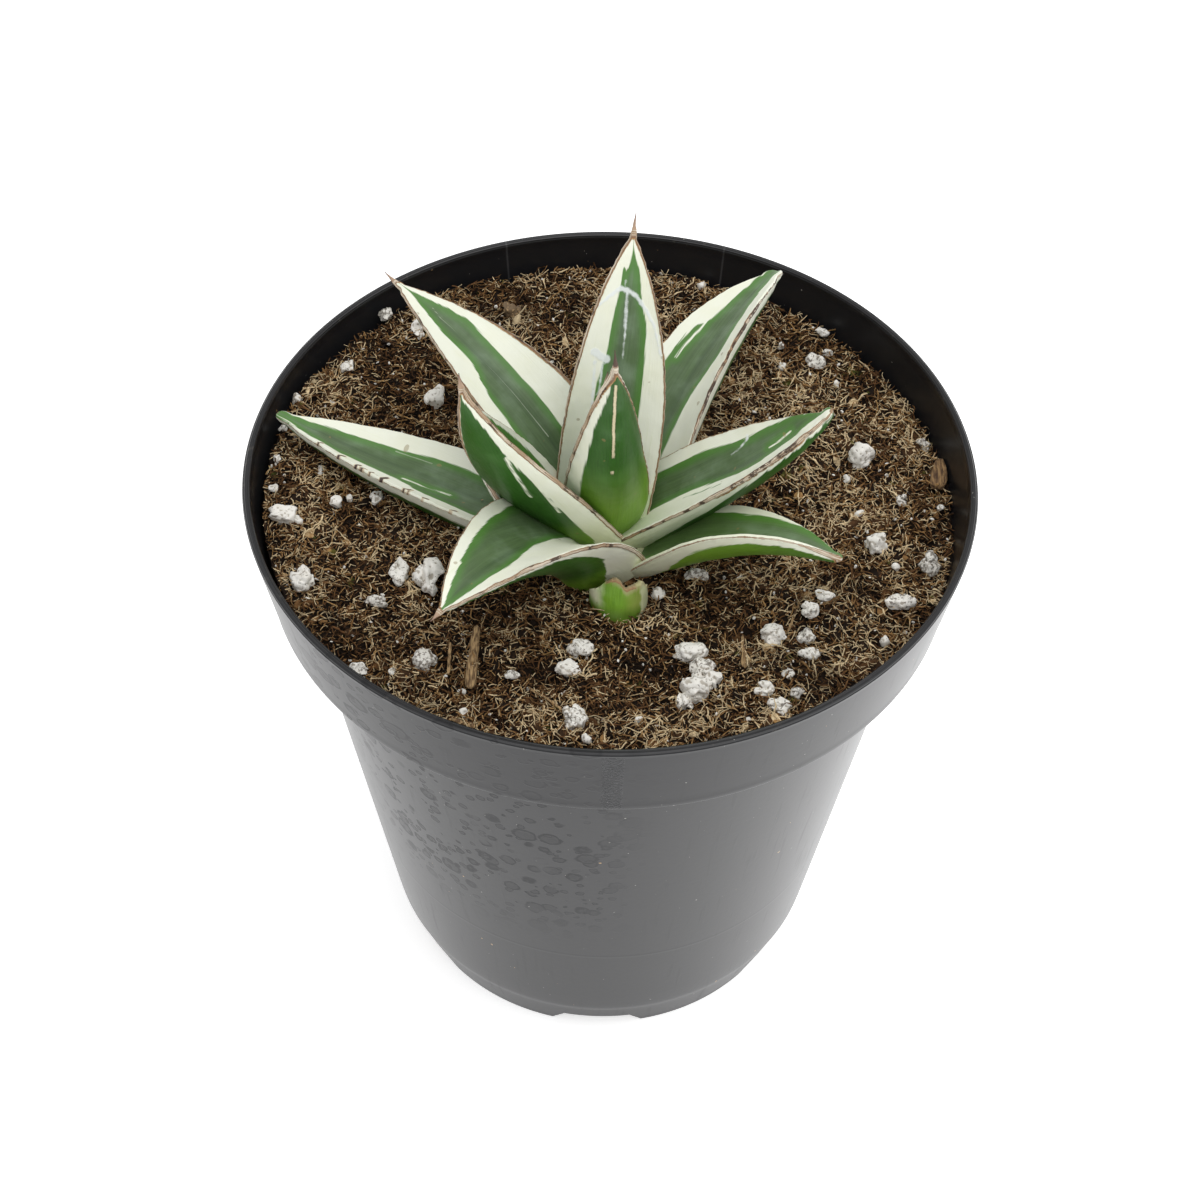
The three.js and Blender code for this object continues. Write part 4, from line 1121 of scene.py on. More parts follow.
def stump_mesh():
    """The foot of an old leaf: an upright hollow shell, torn off across."""
    turn = np.radians(np.linspace(183, 357, STUMP_HALF))
    shape = 1 - np.abs(np.linspace(-1, 1, STUMP_HALF)) ** 6
    middle_x, middle_y = STUMP_MIDDLE
    x = middle_x + STUMP_REACH[0] * np.cos(turn)
    y = middle_y + STUMP_REACH[1] * np.sin(turn)
    top = np.interp(x, *zip(*STUMP_EDGE))
    spots = np.stack([x, y, 0 * x], 1)
    torn = np.where((x < 0.9) | (x > 4.7), 1.0, 0.45)
    top = top + torn * (0.3 * lumps(spots, 0.45, 5) + 0.16 * lumps(spots, 0.2, 6))
    rings = []
    for share in np.linspace(0, 1, STUMP_ROWS) ** 0.9:
        z = STUMP_FOOT + (top - STUMP_FOOT) * share
        lean = STUMP_LEAN * (z - 87.2) * np.sin(turn) ** 2
        wide = 1 - 0.05 * ((z - 87.6) / 4) ** 2
        thick = (1.5 - 0.85 * share) * shape + 0.12
        outer = np.stack([middle_x + (x - middle_x) * wide,
                          middle_y + (y - middle_y) * wide + lean, z], 1)
        inner = outer - np.stack([np.cos(turn) * thick, np.sin(turn) * thick, 0 * z], 1)
        ring = np.vstack([outer, inner[::-1]])
        ring[:, :2] += 0.1 * np.stack([lumps(ring, 1.4, 7), lumps(ring, 1.4, 8)], 1)
        rings.append(ring)
    around = 2 * STUMP_HALF
    faces = wound(STUMP_ROWS, around)
    for step in range(STUMP_HALF - 1):
        for base in (0, (STUMP_ROWS - 1) * around):
            faces.append((base + step, base + step + 1, base + around - 2 - step,
                          base + around - 1 - step))
    flat = np.vstack(rings)
    mesh = mesh_from("old_leaf_stump", flat, faces, {
        "gap": np.tile(np.append(top, top[::-1]), STUMP_ROWS) - flat[:, 2],
        "within": np.tile(np.repeat([0.0, 1.0], STUMP_HALF), STUMP_ROWS)})
    turn_outwards(mesh)
    return mesh


def stump_material():
    """Green flesh that pales to the sides, dry and brown where it is torn."""
    material, wires = new_material("stump_flesh")
    gap, within = stored(wires, "gap"), stored(wires, "within")
    place = object_place(wires)
    x, _, z = split(place)
    cloud = noise(place, 0.002)
    grain = noise(place, 0.0005)
    streak = noise(joined(x * 3.0, 0.0, z * 0.4), 0.001)
    across = x * 1000.0 + (cloud - 0.5) * 1.6
    pale = (1 - fade(across, -2.0, -0.1)) * fade(z, 0.0872, 0.0892)
    pale = most(pale, fade(across, 4.4, 4.8) * 0.6)
    dry = (1 - fade(gap + (streak - 0.5) * 0.7, 0.2, 0.9)) * fade(across, -0.5, 1.4)
    cut = 1 - fade(gap + (grain - 0.5) * 0.2, 0.05, 0.26)
    cut = cut * fade(across, -0.7, 0.2) * (1 - fade(across, 3.6, 4.2))
    specks = fade(noise(place, 0.0006, detail=1.0), 0.72, 0.77) * 0.5
    colour = layered(
        blend(fade(across, 1.5, 4.2), "#78a62c", "#8fa04a"),
        (fade(streak, 0.4, 0.75) * 0.5, "#5c8a20"), (1 - fade(z, 0.0868, 0.0888), "#55731f"),
        (pale, "#e4e5c4"), (dry * 0.6, "#bfb088"), (cut, blend(grain, "#b58f66", "#7a5836")),
        (within * 0.8, "#b9b08a"), (specks, "#7a6436"))
    close_material(wires, colour, 0.42 + cut * 0.3, height=grain * 0.4 + streak, depth=0.0001)
    return material


def crown_material():
    """Pale flesh with brown roots below."""
    material, wires = new_material("crown_flesh")
    place = object_place(wires)
    cloud = noise(place, 0.003, detail=4.0)
    grain = noise(place, 0.0006)
    colour = blend(1 - fade(split(place)[2], 0.0845, 0.0875),
                   blend(cloud, "#e2dfc4", "#c6c990"), blend(grain, "#b79b73", "#7d6040"))
    close_material(wires, colour, 0.5 + grain * 0.2, height=grain + cloud, depth=0.0003)
    return material


class AGAVE_OT_crown(bpy.types.Operator):
    """Makes the stump of the old leaf and finishes the pale crown"""
    bl_idname = "agave.crown"
    bl_label = "Crown"

    def execute(self, context):
        place_piece(stump_mesh(), "old_leaf_stump", stump_material(), ["leaf_stump"])
        slots = bpy.data.objects["stem"].data.materials
        slots.clear()
        slots.append(crown_material())
        return {"FINISHED"}


# ------------------------------------------------------------------ soil

SOIL_RADIUS = 49.8
SOIL_AROUND = 300
SOIL_RINGS = 110
SOIL_CLEAR = 49.95
BED_RADIUS = 49.6
BED_AROUND = 150
BED_RINGS = 60
BED_AREA = math.pi * (BED_RADIUS * MM) ** 2

# The peat below its surface, down the pot's wall and under its floor: radius and height
SOIL_UNDER = [(49.2, 84.0), (48.4, 80.3), (44.1, 80.2), (32.5, 7.6), (30.0, 1.4), (27.8, 1.4),
              (25.8, 4.4)]


def soil_level(x, y):
    """Height of the peat, without its crumbs."""
    waves = (np.sin(0.42 * x + 1.3) * np.cos(0.36 * y - 0.4)
             + 0.6 * np.sin(0.83 * x - 0.7 * y) + 0.4 * np.cos(1.1 * y + 0.5 * x))
    sag = 0.001 * np.clip(y - 20, 0, 60) ** 2
    return 87 - 0.035 * x + 0.035 * y + 0.3 * waves - sag


def soil_crumble(x, y):
    """Crumbs and hollows in the peat, in millimetres over its level."""
    spots = np.stack([x, y, 0 * x], -1)
    bent = spots + 0.8 * np.stack([lumps(spots, 2.0, 21), lumps(spots, 2.0, 22), 0 * x], -1)
    broad = lumps(bent, 7.0, 26)
    coarse = 1 - np.abs(lumps(bent, 3.4, 23)) * 2
    medium = 1 - np.abs(lumps(bent, 1.7, 24)) * 2
    fine = lumps(bent, 0.8, 25)
    return 0.8 * broad + 0.75 * coarse + 0.5 * medium + 0.25 * fine - 0.45


def disc_points(reaches, around):
    """The middle of a disc, the points of its rings of given radii, and the faces."""
    turns = circle(around)
    x = np.append(0.0, np.outer(reaches, np.cos(turns)))
    y = np.append(0.0, np.outer(reaches, np.sin(turns)))
    faces = [(0, 1 + step, 1 + (step + 1) % around) for step in range(around)]
    for ring in range(1, 1 + (len(reaches) - 1) * around, around):
        for step in range(around):
            after = (step + 1) % around
            faces.append((ring + step, ring + around + step, ring + around + after,
                          ring + after))
    return x, y, faces


def peat_material(name, looks, shift):
    """Peat that is lighter where the stored tone is high; that tone carries painted shade in the
    hollows and painted light on the crests.
    """
    material, wires = new_material(name)
    place = object_place(wires)
    tone = stored(wires, "tone")
    cloud = noise(place, 0.007)
    grain = noise(place, 0.0006, roughness=0.65)
    light = tone * 0.92 - 0.1 + (grain - 0.5) * 0.45 + (cloud - 0.5) * 0.65 + shift
    colour = light.node("ShaderNodeValToRGB", {"stops": [
        (0.0, looks.dark), (0.3, dimmed(looks.brown, 0.62)), (0.55, looks.brown),
        (0.85, looks.tan), (1.0, looks.pale)]}, {0: light})
    damp = fade(noise(place, 0.011, detail=2.0), 0.57, 0.68)
    colour = blend(damp * 0.35, colour, looks.dark)
    moss = fade(noise(place, 0.0034), 0.66, 0.72)
    colour = blend(moss * 0.45, colour, "#6f7430")
    close_material(wires, colour, 0.88, height=grain, depth=0.0003,
                   Specular_IOR_Level=0.2)
    return material


def scatter_tree(name, shape, material):
    """A node tree that strews fibres or crumbs over the surface that it is given."""
    tree = bpy.data.node_groups.new(name, "GeometryNodeTree")
    inputs = {"Surface": "Geometry", "Density": "Float", "Length": "Float", "Thickness": "Float",
              "Tilt": "Float", "Curl": "Float", "Lift": "Float", "Seed": "Int", "Bends": "Int"}
    for label, kind in inputs.items():
        tree.interface.new_socket(label, in_out="INPUT", socket_type="NodeSocket" + kind)
    tree.interface.new_socket("Strewn", in_out="OUTPUT", socket_type="NodeSocketGeometry")
    wires = Wire(tree)
    given = wires.node("NodeGroupInput")
    surface, density, length, thickness, tilt, curl, lift, seed, bends = [
        given.other(output) for output in range(len(inputs))]
    spots = wires.node("GeometryNodeDistributePointsOnFaces", {"distribute_method": "RANDOM"},
                       {"Mesh": surface, "Density": density, "Seed": seed})
    if shape == "fibre":
        line = wires.node("GeometryNodeCurvePrimitiveLine", {}, {
            "Start": joined(length * -0.5, 0.0, 0.0), "End": joined(length * 0.5, 0.0, 0.0)})
        line = wires.node("GeometryNodeResampleCurve", {}, {"Curve": line, "Count": bends})
        ring = wires.node("GeometryNodeCurvePrimitiveCircle", {}, {
            "Resolution": 3, "Radius": thickness * 0.5})
        seedling = wires.node("GeometryNodeCurveToMesh", {}, {
            "Curve": line, "Profile Curve": ring, "Fill Caps": True})
    else:
        ball = wires.node("GeometryNodeMeshIcoSphere", {}, {
            "Radius": thickness * 0.5, "Subdivisions": 2 if shape == "crumb" else 1})
        seedling = wires.node("GeometryNodeTransform", {}, {
            "Geometry": ball, "Scale": joined(length / thickness, 1.0, 0.7)})

    def draw(kind, low, high, offset):
        first, result = {"FLOAT_VECTOR": (0, 0), "FLOAT": (2, 1)}[kind]
        return wires.node("FunctionNodeRandomValue", {"data_type": kind},
                          {first: low, first + 1: high, "Seed": seed + offset}, output=result)

    turn = draw("FLOAT_VECTOR", joined(tilt * -1.0, tilt * -1.0, 0.0),
                joined(tilt, tilt, 2 * math.pi), 11)
    size = draw("FLOAT_VECTOR", (0.35, 0.6, 0.6), (1.5, 1.5, 1.5), 23)
    turned = wires.node("FunctionNodeEulerToRotation", {}, {0: turn})
    strewn = wires.node("GeometryNodeInstanceOnPoints", {}, {
        "Points": spots, "Instance": seedling, "Rotation": turned, "Scale": size})
    # Painted light and shade: each piece's tone rises with the bed's crest shading, so peat
    # pieces in hollows are darker and those on crests lighter.
    crest = wires.node("GeometryNodeInputNamedAttribute", {"data_type": "FLOAT"},
                       {"Name": "crest"})
    strewn = wires.node("GeometryNodeStoreNamedAttribute", {
        "data_type": "FLOAT", "domain": "INSTANCE"}, {
        "Geometry": strewn, "Name": "tone",
        "Value": draw("FLOAT", -0.35, 0.75, 37) + crest * 0.8})
    rise = draw("FLOAT", 0.0, 1.0, 41)
    strewn = wires.node("GeometryNodeTranslateInstances", {}, {
        "Instances": strewn, "Translation": joined(0.0, 0.0, rise * lift),
        "Local Space": False})
    solid = wires.node("GeometryNodeRealizeInstances", {}, {0: strewn})
    here = wires.node("GeometryNodeInputPosition")
    swirl = wires.node("ShaderNodeTexNoise", {}, {
        "Vector": here, "Scale": 800.0, "Detail": 1.5}, output=1)
    swirl = wires.node("ShaderNodeVectorMath", {"operation": "SUBTRACT"}, {
        0: swirl, 1: (0.5, 0.5, 0.5)})
    swirl = wires.node("ShaderNodeVectorMath", {"operation": "SCALE"}, {
        0: swirl, "Scale": curl})
    solid = wires.node("GeometryNodeSetPosition", {}, {"Geometry": solid, "Offset": swirl})
    solid = wires.node("GeometryNodeSetMaterial", {}, {"Geometry": solid, "Material": material})
    wires.node("NodeGroupOutput", {}, {0: solid})
    return tree


def strew(tree, surface, values):
    """The plain mesh that a scatter tree makes over a surface."""
    carrier = add_object("strewn", surface)
    modifier = carrier.modifiers.new("strew", "NODES")
    modifier.node_group = tree
    for item in tree.interface.items_tree:
        if item.in_out == "INPUT" and item.name in values:
            modifier[item.identifier] = values[item.name]
    graph = bpy.context.evaluated_depsgraph_get()
    mesh = bpy.data.meshes.new_from_object(
        carrier.evaluated_get(graph), preserve_all_data_layers=True, depsgraph=graph)
    carrier.modifiers.clear()
    bpy.data.objects.remove(carrier)
    return mesh


def hold_in_pot(mesh):
    """Draws what reaches past the inner wall back inside it."""
    places = np.empty(len(mesh.vertices) * 3)
    mesh.vertices.foreach_get("co", places)
    places = places.reshape(-1, 3)
    reach = np.hypot(places[:, 0], places[:, 1])
    pull = np.minimum(1.0, SOIL_CLEAR * MM / np.maximum(reach, 1e-9))
    places[:, :2] *= pull[:, None]
    mesh.vertices.foreach_set("co", places.ravel())
    mesh.update()


def bed_mesh():
    """The surface on which fibres and crumbs are strewn."""
    reaches = BED_RADIUS * np.arange(1, BED_RINGS + 1) / BED_RINGS
    x, y, faces = disc_points(reaches, BED_AROUND)
    z = soil_level(x, y) + 0.55 * soil_crumble(x, y) + 0.15
    # Painted light and shade: how high the peat crumbles here, stored so that the strewn pieces
    # are lighter on crests and darker in hollows.
    crest = np.clip(0.45 + 0.6 * soil_crumble(x, y), 0, 1)
    return mesh_from("peat_bed", np.stack([x, y, z], 1), faces, {"crest": crest})


def strewn_piece(name, shape, material, number_of, seed, sizes, tilt, bends=2):
    """Strews fibres, crumbs or specks over the bed. Sizes, all in millimetres: length,
    thickness, how far they curl and how far they lift."""
    length, thickness, curl, lift = [size * MM for size in sizes]
    mesh = strew(scatter_tree(name, shape, material), bed_mesh(), {
        "Density": number_of / BED_AREA, "Length": length, "Thickness": thickness,
        "Tilt": tilt, "Curl": curl, "Lift": lift, "Seed": seed, "Bends": bends})
    if shape == "fibre":
        mesh.shade_smooth()
    hold_in_pot(mesh)
    place_piece(mesh, name, material)


class AGAVE_OT_soil(bpy.types.Operator):
    """Fills the pot with peat"""
    bl_idname = "agave.soil"
    bl_label = "Peat"

    def execute(self, context):
        looks = context.scene.agave_soil
        radii, heights = zip(*SOIL_UNDER)
        reaches = SOIL_RADIUS * np.arange(1, SOIL_RINGS + 1) / SOIL_RINGS
        x, y, faces = disc_points([*reaches, *radii], SOIL_AROUND)
        top = 1 + SOIL_RINGS * SOIL_AROUND
        crumble = soil_crumble(x[:top], y[:top])
        z = np.append(soil_level(x[:top], y[:top]) + crumble, np.repeat(heights, SOIL_AROUND))
        points = np.vstack([np.stack([x, y, z], 1), [0, 0, heights[-1]]])
        last = len(points) - 1
        for step in range(SOIL_AROUND):
            faces.append((last - SOIL_AROUND + step, last,
                          last - SOIL_AROUND + (step + 1) % SOIL_AROUND))
        # Painted shade and light: the fill's tone follows the crumble's height, so its hollows
        # are darker and its crumbs lighter; below the surface the tone is even.
        tone = np.append(np.clip(0.12 + crumble * 0.3, 0, 1), np.full(len(points) - top, 0.3))
        mesh = mesh_from("peat_fill", points, faces, {"tone": tone})
        turn_outwards(mesh)
        place_piece(mesh, "peat_fill", peat_material("peat", looks, -0.16), ["soil"])
        return {"FINISHED"}


class AGAVE_OT_fibres(bpy.types.Operator):
    """Strews peat fibres and crumbs over the soil"""
    bl_idname = "agave.fibres"
    bl_label = "Peat fibres"

    def execute(self, context):
        looks = context.scene.agave_soil
        more_fibres = looks.fibres * 5 // 4
        # Name, number, bends, shade; then length, thickness, curl and lift in millimetres
        kinds = [
            ("peat_fibres_brown", looks.fibres, 5, -0.05, (2.0, 0.21, 1.2, 0.5)),
            ("peat_fibres_tan", looks.fibres, 5, 0.27, (1.6, 0.15, 1.1, 0.8)),
            ("peat_fibres_light", looks.fibres, 5, 0.58, (1.3, 0.11, 1.0, 1.1)),
            ("peat_fibres_short", more_fibres, 4, 0.12, (1.0, 0.13, 0.8, 0.7)),
            ("peat_fibres_pale", more_fibres, 4, 0.56, (0.9, 0.1, 0.8, 1.1)),
            ("peat_fibres_long", looks.fibres // 7, 13, 0.34, (4.2, 0.16, 1.6, 1.1)),
        ]
        for order, (name, number_of, bends, shade, sizes) in enumerate(kinds):
            strewn_piece(name, "fibre", peat_material(name, looks, shade), number_of,
                         looks.seed + 100 * order, sizes, 0.6, bends)
        strewn_piece("peat_crumbs", "crumb", peat_material("peat_crumbs", looks, -0.02),
                     looks.crumbs, looks.seed + 500, (1.5, 1.0, 1.2, 0.2), 0.8)
        return {"FINISHED"}


# Perlite grains: place, width and depth in millimetres. The last one is stained by the peat.
GRAINS = [
    (-35.4, 36.0, 3.1, 3.1), (-29.8, 32.9, 2.3, 3.8), (-39.6, 23.9, 2.2, 2.7),
    (-26.2, 18.0, 3.4, 4.6), (-47.2, 16.8, 3.0, 2.1), (-41.5, 16.6, 1.2, 1.2),
    (-48.3, 10.6, 1.5, 1.5), (-48.5, 4.5, 1.2, 2.0), (-48.4, -1.0, 1.6, 1.6),
    (-46.4, -6.5, 5.1, 3.8), (-39.1, -3.4, 2.4, 2.4), (-37.4, -2.1, 1.3, 1.3),
    (-33.6, -2.1, 1.7, 2.9), (-42.0, 2.5, 1.0, 2.0), (-42.8, -18.6, 3.6, 4.2),
    (-29.4, -16.1, 3.2, 4.9), (-24.9, -17.0, 4.6, 6.3), (-32.5, -21.6, 3.5, 1.9),
    (-24.9, -32.0, 3.6, 3.4), (-33.9, -34.0, 3.0, 2.5), (-29.0, -33.9, 1.4, 1.4),
    (-3.5, -28.3, 3.7, 2.8), (-5.0, -31.7, 3.8, 2.5), (-12.8, -33.5, 2.3, 1.4),
    (-19.3, -36.6, 1.0, 1.0), (-19.1, -40.1, 1.4, 1.8), (-4.0, -40.8, 3.8, 4.3),
    (-2.3, -43.9, 2.0, 2.0), (13.4, 46.8, 1.6, 1.6), (30.8, 30.3, 3.3, 2.6),
    (32.6, 32.8, 2.4, 1.5), (32.1, 36.5, 2.3, 1.5), (25.4, 33.7, 1.4, 1.4),
    (25.5, 28.8, 1.5, 1.5), (33.7, 26.0, 1.4, 1.4), (37.0, 10.5, 4.7, 4.3),
    (46.1, 13.8, 2.4, 2.4), (34.5, 6.5, 1.3, 1.3), (38.4, -6.6, 4.0, 3.4),
    (40.9, -10.2, 1.4, 1.4), (46.0, -10.0, 3.1, 4.0), (36.1, -0.2, 2.0, 2.0),
    (42.4, 2.2, 2.0, 2.0), (47.9, 1.3, 1.2, 1.2), (12.4, -13.9, 3.5, 2.1),
    (7.0, -17.4, 2.4, 2.4), (18.6, -13.7, 1.1, 1.1), (28.5, -19.2, 2.5, 3.1),
    (30.4, -16.6, 2.8, 2.0), (23.1, -24.3, 3.8, 3.5), (27.8, -24.2, 3.1, 1.9),
    (28.2, -26.8, 3.5, 1.8), (41.3, -17.1, 5.1, 2.8), (11.7, -28.0, 5.0, 3.3),
    (13.4, -31.1, 4.1, 3.6), (12.3, -34.8, 4.9, 4.1), (10.8, -36.6, 2.5, 3.0),
    (14.9, -32.7, 2.7, 2.7), (23.9, -36.9, 3.4, 2.7), (21.9, -33.7, 2.7, 2.5),
    (25.1, -30.6, 1.9, 1.9), (26.4, -34.3, 2.2, 2.2), (38.8, -24.3, 1.9, 1.9),
    (3.4, -14.3, 1.3, 1.3), (4.6, -40.1, 1.4, 1.4), (19.6, -39.1, 1.1, 1.1),
    (-15.9, 37.9, 3.1, 3.1),
]
LARGE_GRAIN = 2.6
STAINED = 1.6


def ball_points(divisions):
    """The points and faces of an evenly divided ball of radius 1."""
    work = bmesh.new()
    bmesh.ops.create_icosphere(work, subdivisions=divisions, radius=1.0)
    points = np.array([corner.co for corner in work.verts])
    faces = [tuple(corner.index for corner in face.verts) for face in work.faces]
    work.free()
    return points, faces


def perlite_material(looks):
    """Puffed stone, dusty, with painted shade darkening its pits; a tone over 1.5 is stained
    brown by the peat.
    """
    material, wires = new_material("perlite")
    place = object_place(wires)
    tone = stored(wires, "tone")
    pit = stored(wires, "pit")
    cloud = noise(place, 0.002)
    grain = noise(place, 0.0003)
    dirt = noise(place, 0.00045) + (tone - 0.35) * 0.2
    # Painted shade: the pits are darkened with #857763, beside the grey, stain and dirt that the
    # grains have of their own.
    colour = layered(
        blend(fade(cloud, 0.5, 0.75) * 0.35, looks.perlite, "#d8cfbd"),
        (fade(tone, 0.75, 1.0) * 0.35, "#b9b5ac"), (fade(pit, 0.2, 0.8) * 0.65, "#857763"),
        (fade(tone, 1.5, 1.58), blend(grain, "#c2a47c", "#8a6f4c")),
        (fade(dirt, 0.61, 0.69) * 0.75, "#52463a"))
    close_material(wires, colour, 0.85, height=grain, depth=0.0001,
                   Specular_IOR_Level=0.25)
    return material


def grain_lump(ball, size, first, seed, draws):
    """One faceted lump of a grain, and how deep its pits are at each point."""
    swell = 0.78 if first else draws.uniform(0.42, 0.62)
    away = draws.normal(size=3) * np.array([1, 1, 0.6])
    away = away / np.linalg.norm(away) * (0.0 if first else 1.0)
    facets = draws.normal(size=(9, 3))
    facets /= np.linalg.norm(facets, axis=1)[:, None]
    lump = ball - 0.85 * sum(np.clip(ball @ facet - 0.68, 0, 1)[:, None] * facet
                             for facet in facets)
    lump = (lump * swell + away * (1 - swell) * 0.95) * size
    bumps = lumps(lump, 0.75, seed) * 0.22 + lumps(lump, 0.34, seed + 1) * 0.09
    lump = lump + ball * bumps[:, None]
    pit = np.clip(lumps(lump, 0.4, seed + 2) * 2.4 - 0.5, 0, 1)
    return lump - ball * 0.18 * pit[:, None], pit


class AGAVE_OT_perlite(bpy.types.Operator):
    """Sets the grains and specks of perlite in the peat"""
    bl_idname = "agave.perlite"
    bl_label = "Perlite"

    def execute(self, context):
        looks = context.scene.agave_soil
        material = perlite_material(looks)
        draws = np.random.default_rng(looks.seed)
        points, faces, tones, pits = [], [], [], []
        start = 0
        for order, (x, y, wide, deep) in enumerate(GRAINS):
            large = max(wide, deep) > LARGE_GRAIN
            ball, ball_faces = ball_points(4 if large else 3)
            parts = draws.integers(3, 5) if large else draws.integers(1, 3)
            size = 0.59 * np.array([wide, deep, 0.85 * min(wide, deep) + 0.15 * max(wide, deep)])
            tone = STAINED if order == len(GRAINS) - 1 else draws.uniform()
            place = np.array([x, y, soil_level(x, y) + 0.45 * size[2] + 0.4])
            for part in range(parts):
                lump, pit = grain_lump(ball, size, part == 0, 300 + 7 * order + part, draws)
                points.append(lump + place)
                faces += shifted(ball_faces, start)
                start += len(ball)
                tones.append(np.full(len(ball), tone))
                pits.append(pit)
        mesh = mesh_from("perlite_grains", np.vstack(points), faces,
                         {"tone": np.concatenate(tones), "pit": np.concatenate(pits)})
        hold_in_pot(mesh)
        place_piece(mesh, "perlite_grains", material)

        strewn_piece("perlite_specks", "speck", material, looks.dust, looks.seed + 900,
                     (0.55, 0.45, 0.5, 0.9), 1.5)
        return {"FINISHED"}


# Splinters of wood on the peat: both ends, width and height above the peat, millimetres
SPLINTERS = [
    ((-18.0, -25.4), (-18.4, -36.4), 1.7, 1.3), ((-21.5, -28.8), (-21.5, -33.7), 0.6, 1.2),
    ((18.9, -24.8), (19.1, -30.6), 0.8, 1.4), ((-10.7, -35.5), (-5.4, -39.7), 0.5, 1.3),
    ((25.1, -24.0), (27.0, -17.7), 0.5, 1.1), ((-20.9, -42.2), (-17.3, -42.6), 0.9, 1.2),
    ((-26.3, -26.5), (-23.0, -27.4), 0.45, 1.2),
]
SPLINTER_RINGS = 40
SPLINTER_AROUND = 10
FLAKE_PLACE = (48.2, 7.8)
FLAKE_SIZE = (1.2, 3.1, 0.8)
FLAKE_TURN = 14.0


def wood_material(name, dark, light, size, along, depth):
    """Wood whose grain runs along Y; the smaller along is, the longer its streaks."""
    material, wires = new_material(name)
    x, y, z = split(object_place(wires))
    grain = noise(joined(x * 3.0, y * along, z * 3.0), size, detail=4.0)
    close_material(wires, blend(fade(grain, 0.35, 0.65), dark, light), 0.85, height=grain,
                   depth=depth)
    return material


def splinter_rings(order, start, end, width, lift):
    """Rings of points along one splinter, with grooves in its sides."""
    share = np.linspace(0, 1, SPLINTER_RINGS)
    x = start[0] + (end[0] - start[0]) * share
    y = start[1] + (end[1] - start[1]) * share
    wander = lumps(np.stack([x, y, 0 * x], 1), 3.0, 500 + order) * 0.35
    middle = np.stack([x, y, soil_level(x, y) + lift + wander], 1)[:, None]
    away = np.array([end[1] - start[1], start[0] - end[0], 0.0])
    away /= np.linalg.norm(away)
    body = np.sqrt(np.clip(1 - (2 * share - 1) ** 8, 0.02, 1)) * (0.72 + 0.28 * share)
    turn = circle(SPLINTER_AROUND)
    across = (width / 2) * body[:, None] * np.cos(turn)[None, :]
    level = (width / 4) * body[:, None] * np.sin(turn)[None, :]
    rings = middle + away * across[..., None] + np.array([0, 0, 1.0]) * level[..., None]
    groove = lumps(rings * np.array([1, 0.25, 1]), 0.35, 520 + order) * 0.16
    return rings + away * np.sign(np.cos(turn))[None, :, None] * groove[..., None]


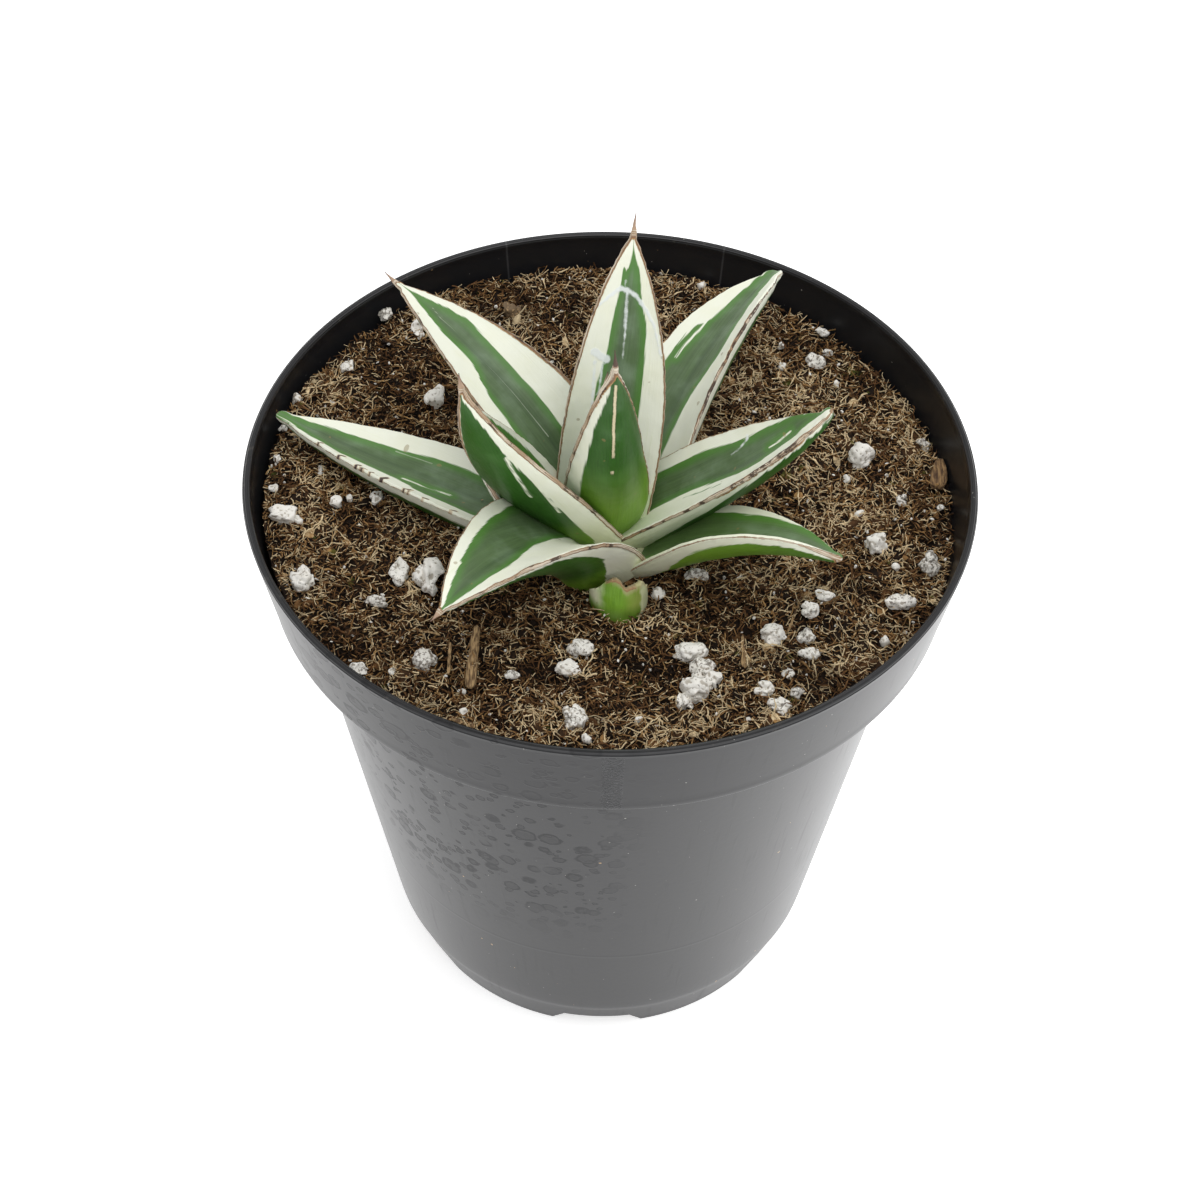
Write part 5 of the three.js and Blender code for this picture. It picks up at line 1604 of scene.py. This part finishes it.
class AGAVE_OT_litter(bpy.types.Operator):
    """Lays splinters and a flake of bark on the peat"""
    bl_idname = "agave.litter"
    bl_label = "Splinters and bark"

    def execute(self, context):
        around, each = SPLINTER_AROUND, SPLINTER_RINGS * SPLINTER_AROUND
        shell = wound(SPLINTER_RINGS, around)
        shell += [tuple(range(around)), tuple(reversed(range(each - around, each)))]
        points, faces, tones = [], [], []
        for order, splinter in enumerate(SPLINTERS):
            points.append(splinter_rings(order, *splinter).reshape(-1, 3))
            faces += shifted(shell, order * each)
            tones.append(np.full(each, 0.85 - 0.1 * order))
        mesh = mesh_from("splinters", np.vstack(points), faces, {"tone": np.concatenate(tones)})
        turn_outwards(mesh)
        wood = wood_material("splinter_wood", "#5c452c", "#b8986c", 0.0008, 0.35, 0.0004)
        place_piece(mesh, "splinters", wood)

        ball, ball_faces = ball_points(4)
        flake = np.sign(ball) * np.abs(ball) ** 0.6 * np.array(FLAKE_SIZE)
        flake = flake * (1 + 0.14 * lumps(flake, 1.3, 610)[:, None])
        flake[:, 0] += 0.14 * lumps(flake * np.array([1, 0.2, 1]), 0.4, 612)
        flake[:, 2] += 0.22 * lumps(flake * np.array([1, 0.3, 1]), 0.5, 611)
        turn = math.radians(FLAKE_TURN)
        flake = flake @ np.array([[math.cos(turn), -math.sin(turn), 0],
                                  [math.sin(turn), math.cos(turn), 0], [0, 0, 1]])
        flake = flake + np.array([*FLAKE_PLACE, soil_level(*FLAKE_PLACE) + 1.2])
        mesh = mesh_from("bark_flake", flake, ball_faces)
        hold_in_pot(mesh)
        bark = wood_material("bark", "#4c3522", "#9a7a52", 0.001, 0.5, 0.0005)
        place_piece(mesh, "bark_flake", bark)
        return {"FINISHED"}


# ------------------------------------------------------------------ panel and run


class AGAVE_PT_panel(bpy.types.Panel):
    bl_idname = "AGAVE_PT_panel"
    bl_label = "Potted agave"
    bl_space_type = "VIEW_3D"
    bl_region_type = "UI"
    bl_category = "Agave"

    def draw(self, context):
        for operator in OPERATORS:
            self.layout.operator(operator.bl_idname)
        for name in LOOKS:
            group = getattr(context.scene, name)
            for key in group.__annotations__:
                self.layout.prop(group, key)


LOOKS = {"agave_pot": PotLooks, "agave_leaf": LeafLooks, "agave_soil": SoilLooks,
         "agave_stage": StageLooks}
OPERATORS = (AGAVE_OT_stage, AGAVE_OT_pot, AGAVE_OT_leaves, AGAVE_OT_crown, AGAVE_OT_soil,
             AGAVE_OT_fibres, AGAVE_OT_perlite, AGAVE_OT_litter)


def register():
    for group in LOOKS.values():
        bpy.utils.register_class(group)
    for name, group in LOOKS.items():
        setattr(bpy.types.Scene, name, PointerProperty(type=group))
    for operator in OPERATORS:
        bpy.utils.register_class(operator)
    bpy.utils.register_class(AGAVE_PT_panel)


def unregister():
    bpy.utils.unregister_class(AGAVE_PT_panel)
    for operator in reversed(OPERATORS):
        bpy.utils.unregister_class(operator)
    for name, group in LOOKS.items():
        delattr(bpy.types.Scene, name)
        bpy.utils.unregister_class(group)


def main():
    register()
    bpy.ops.agave.stage()
    bpy.ops.agave.pot()
    bpy.ops.agave.leaves()
    bpy.ops.agave.crown()
    bpy.ops.agave.soil()
    bpy.ops.agave.fibres()
    bpy.ops.agave.perlite()
    bpy.ops.agave.litter()


if __name__ == "__main__":
    main()
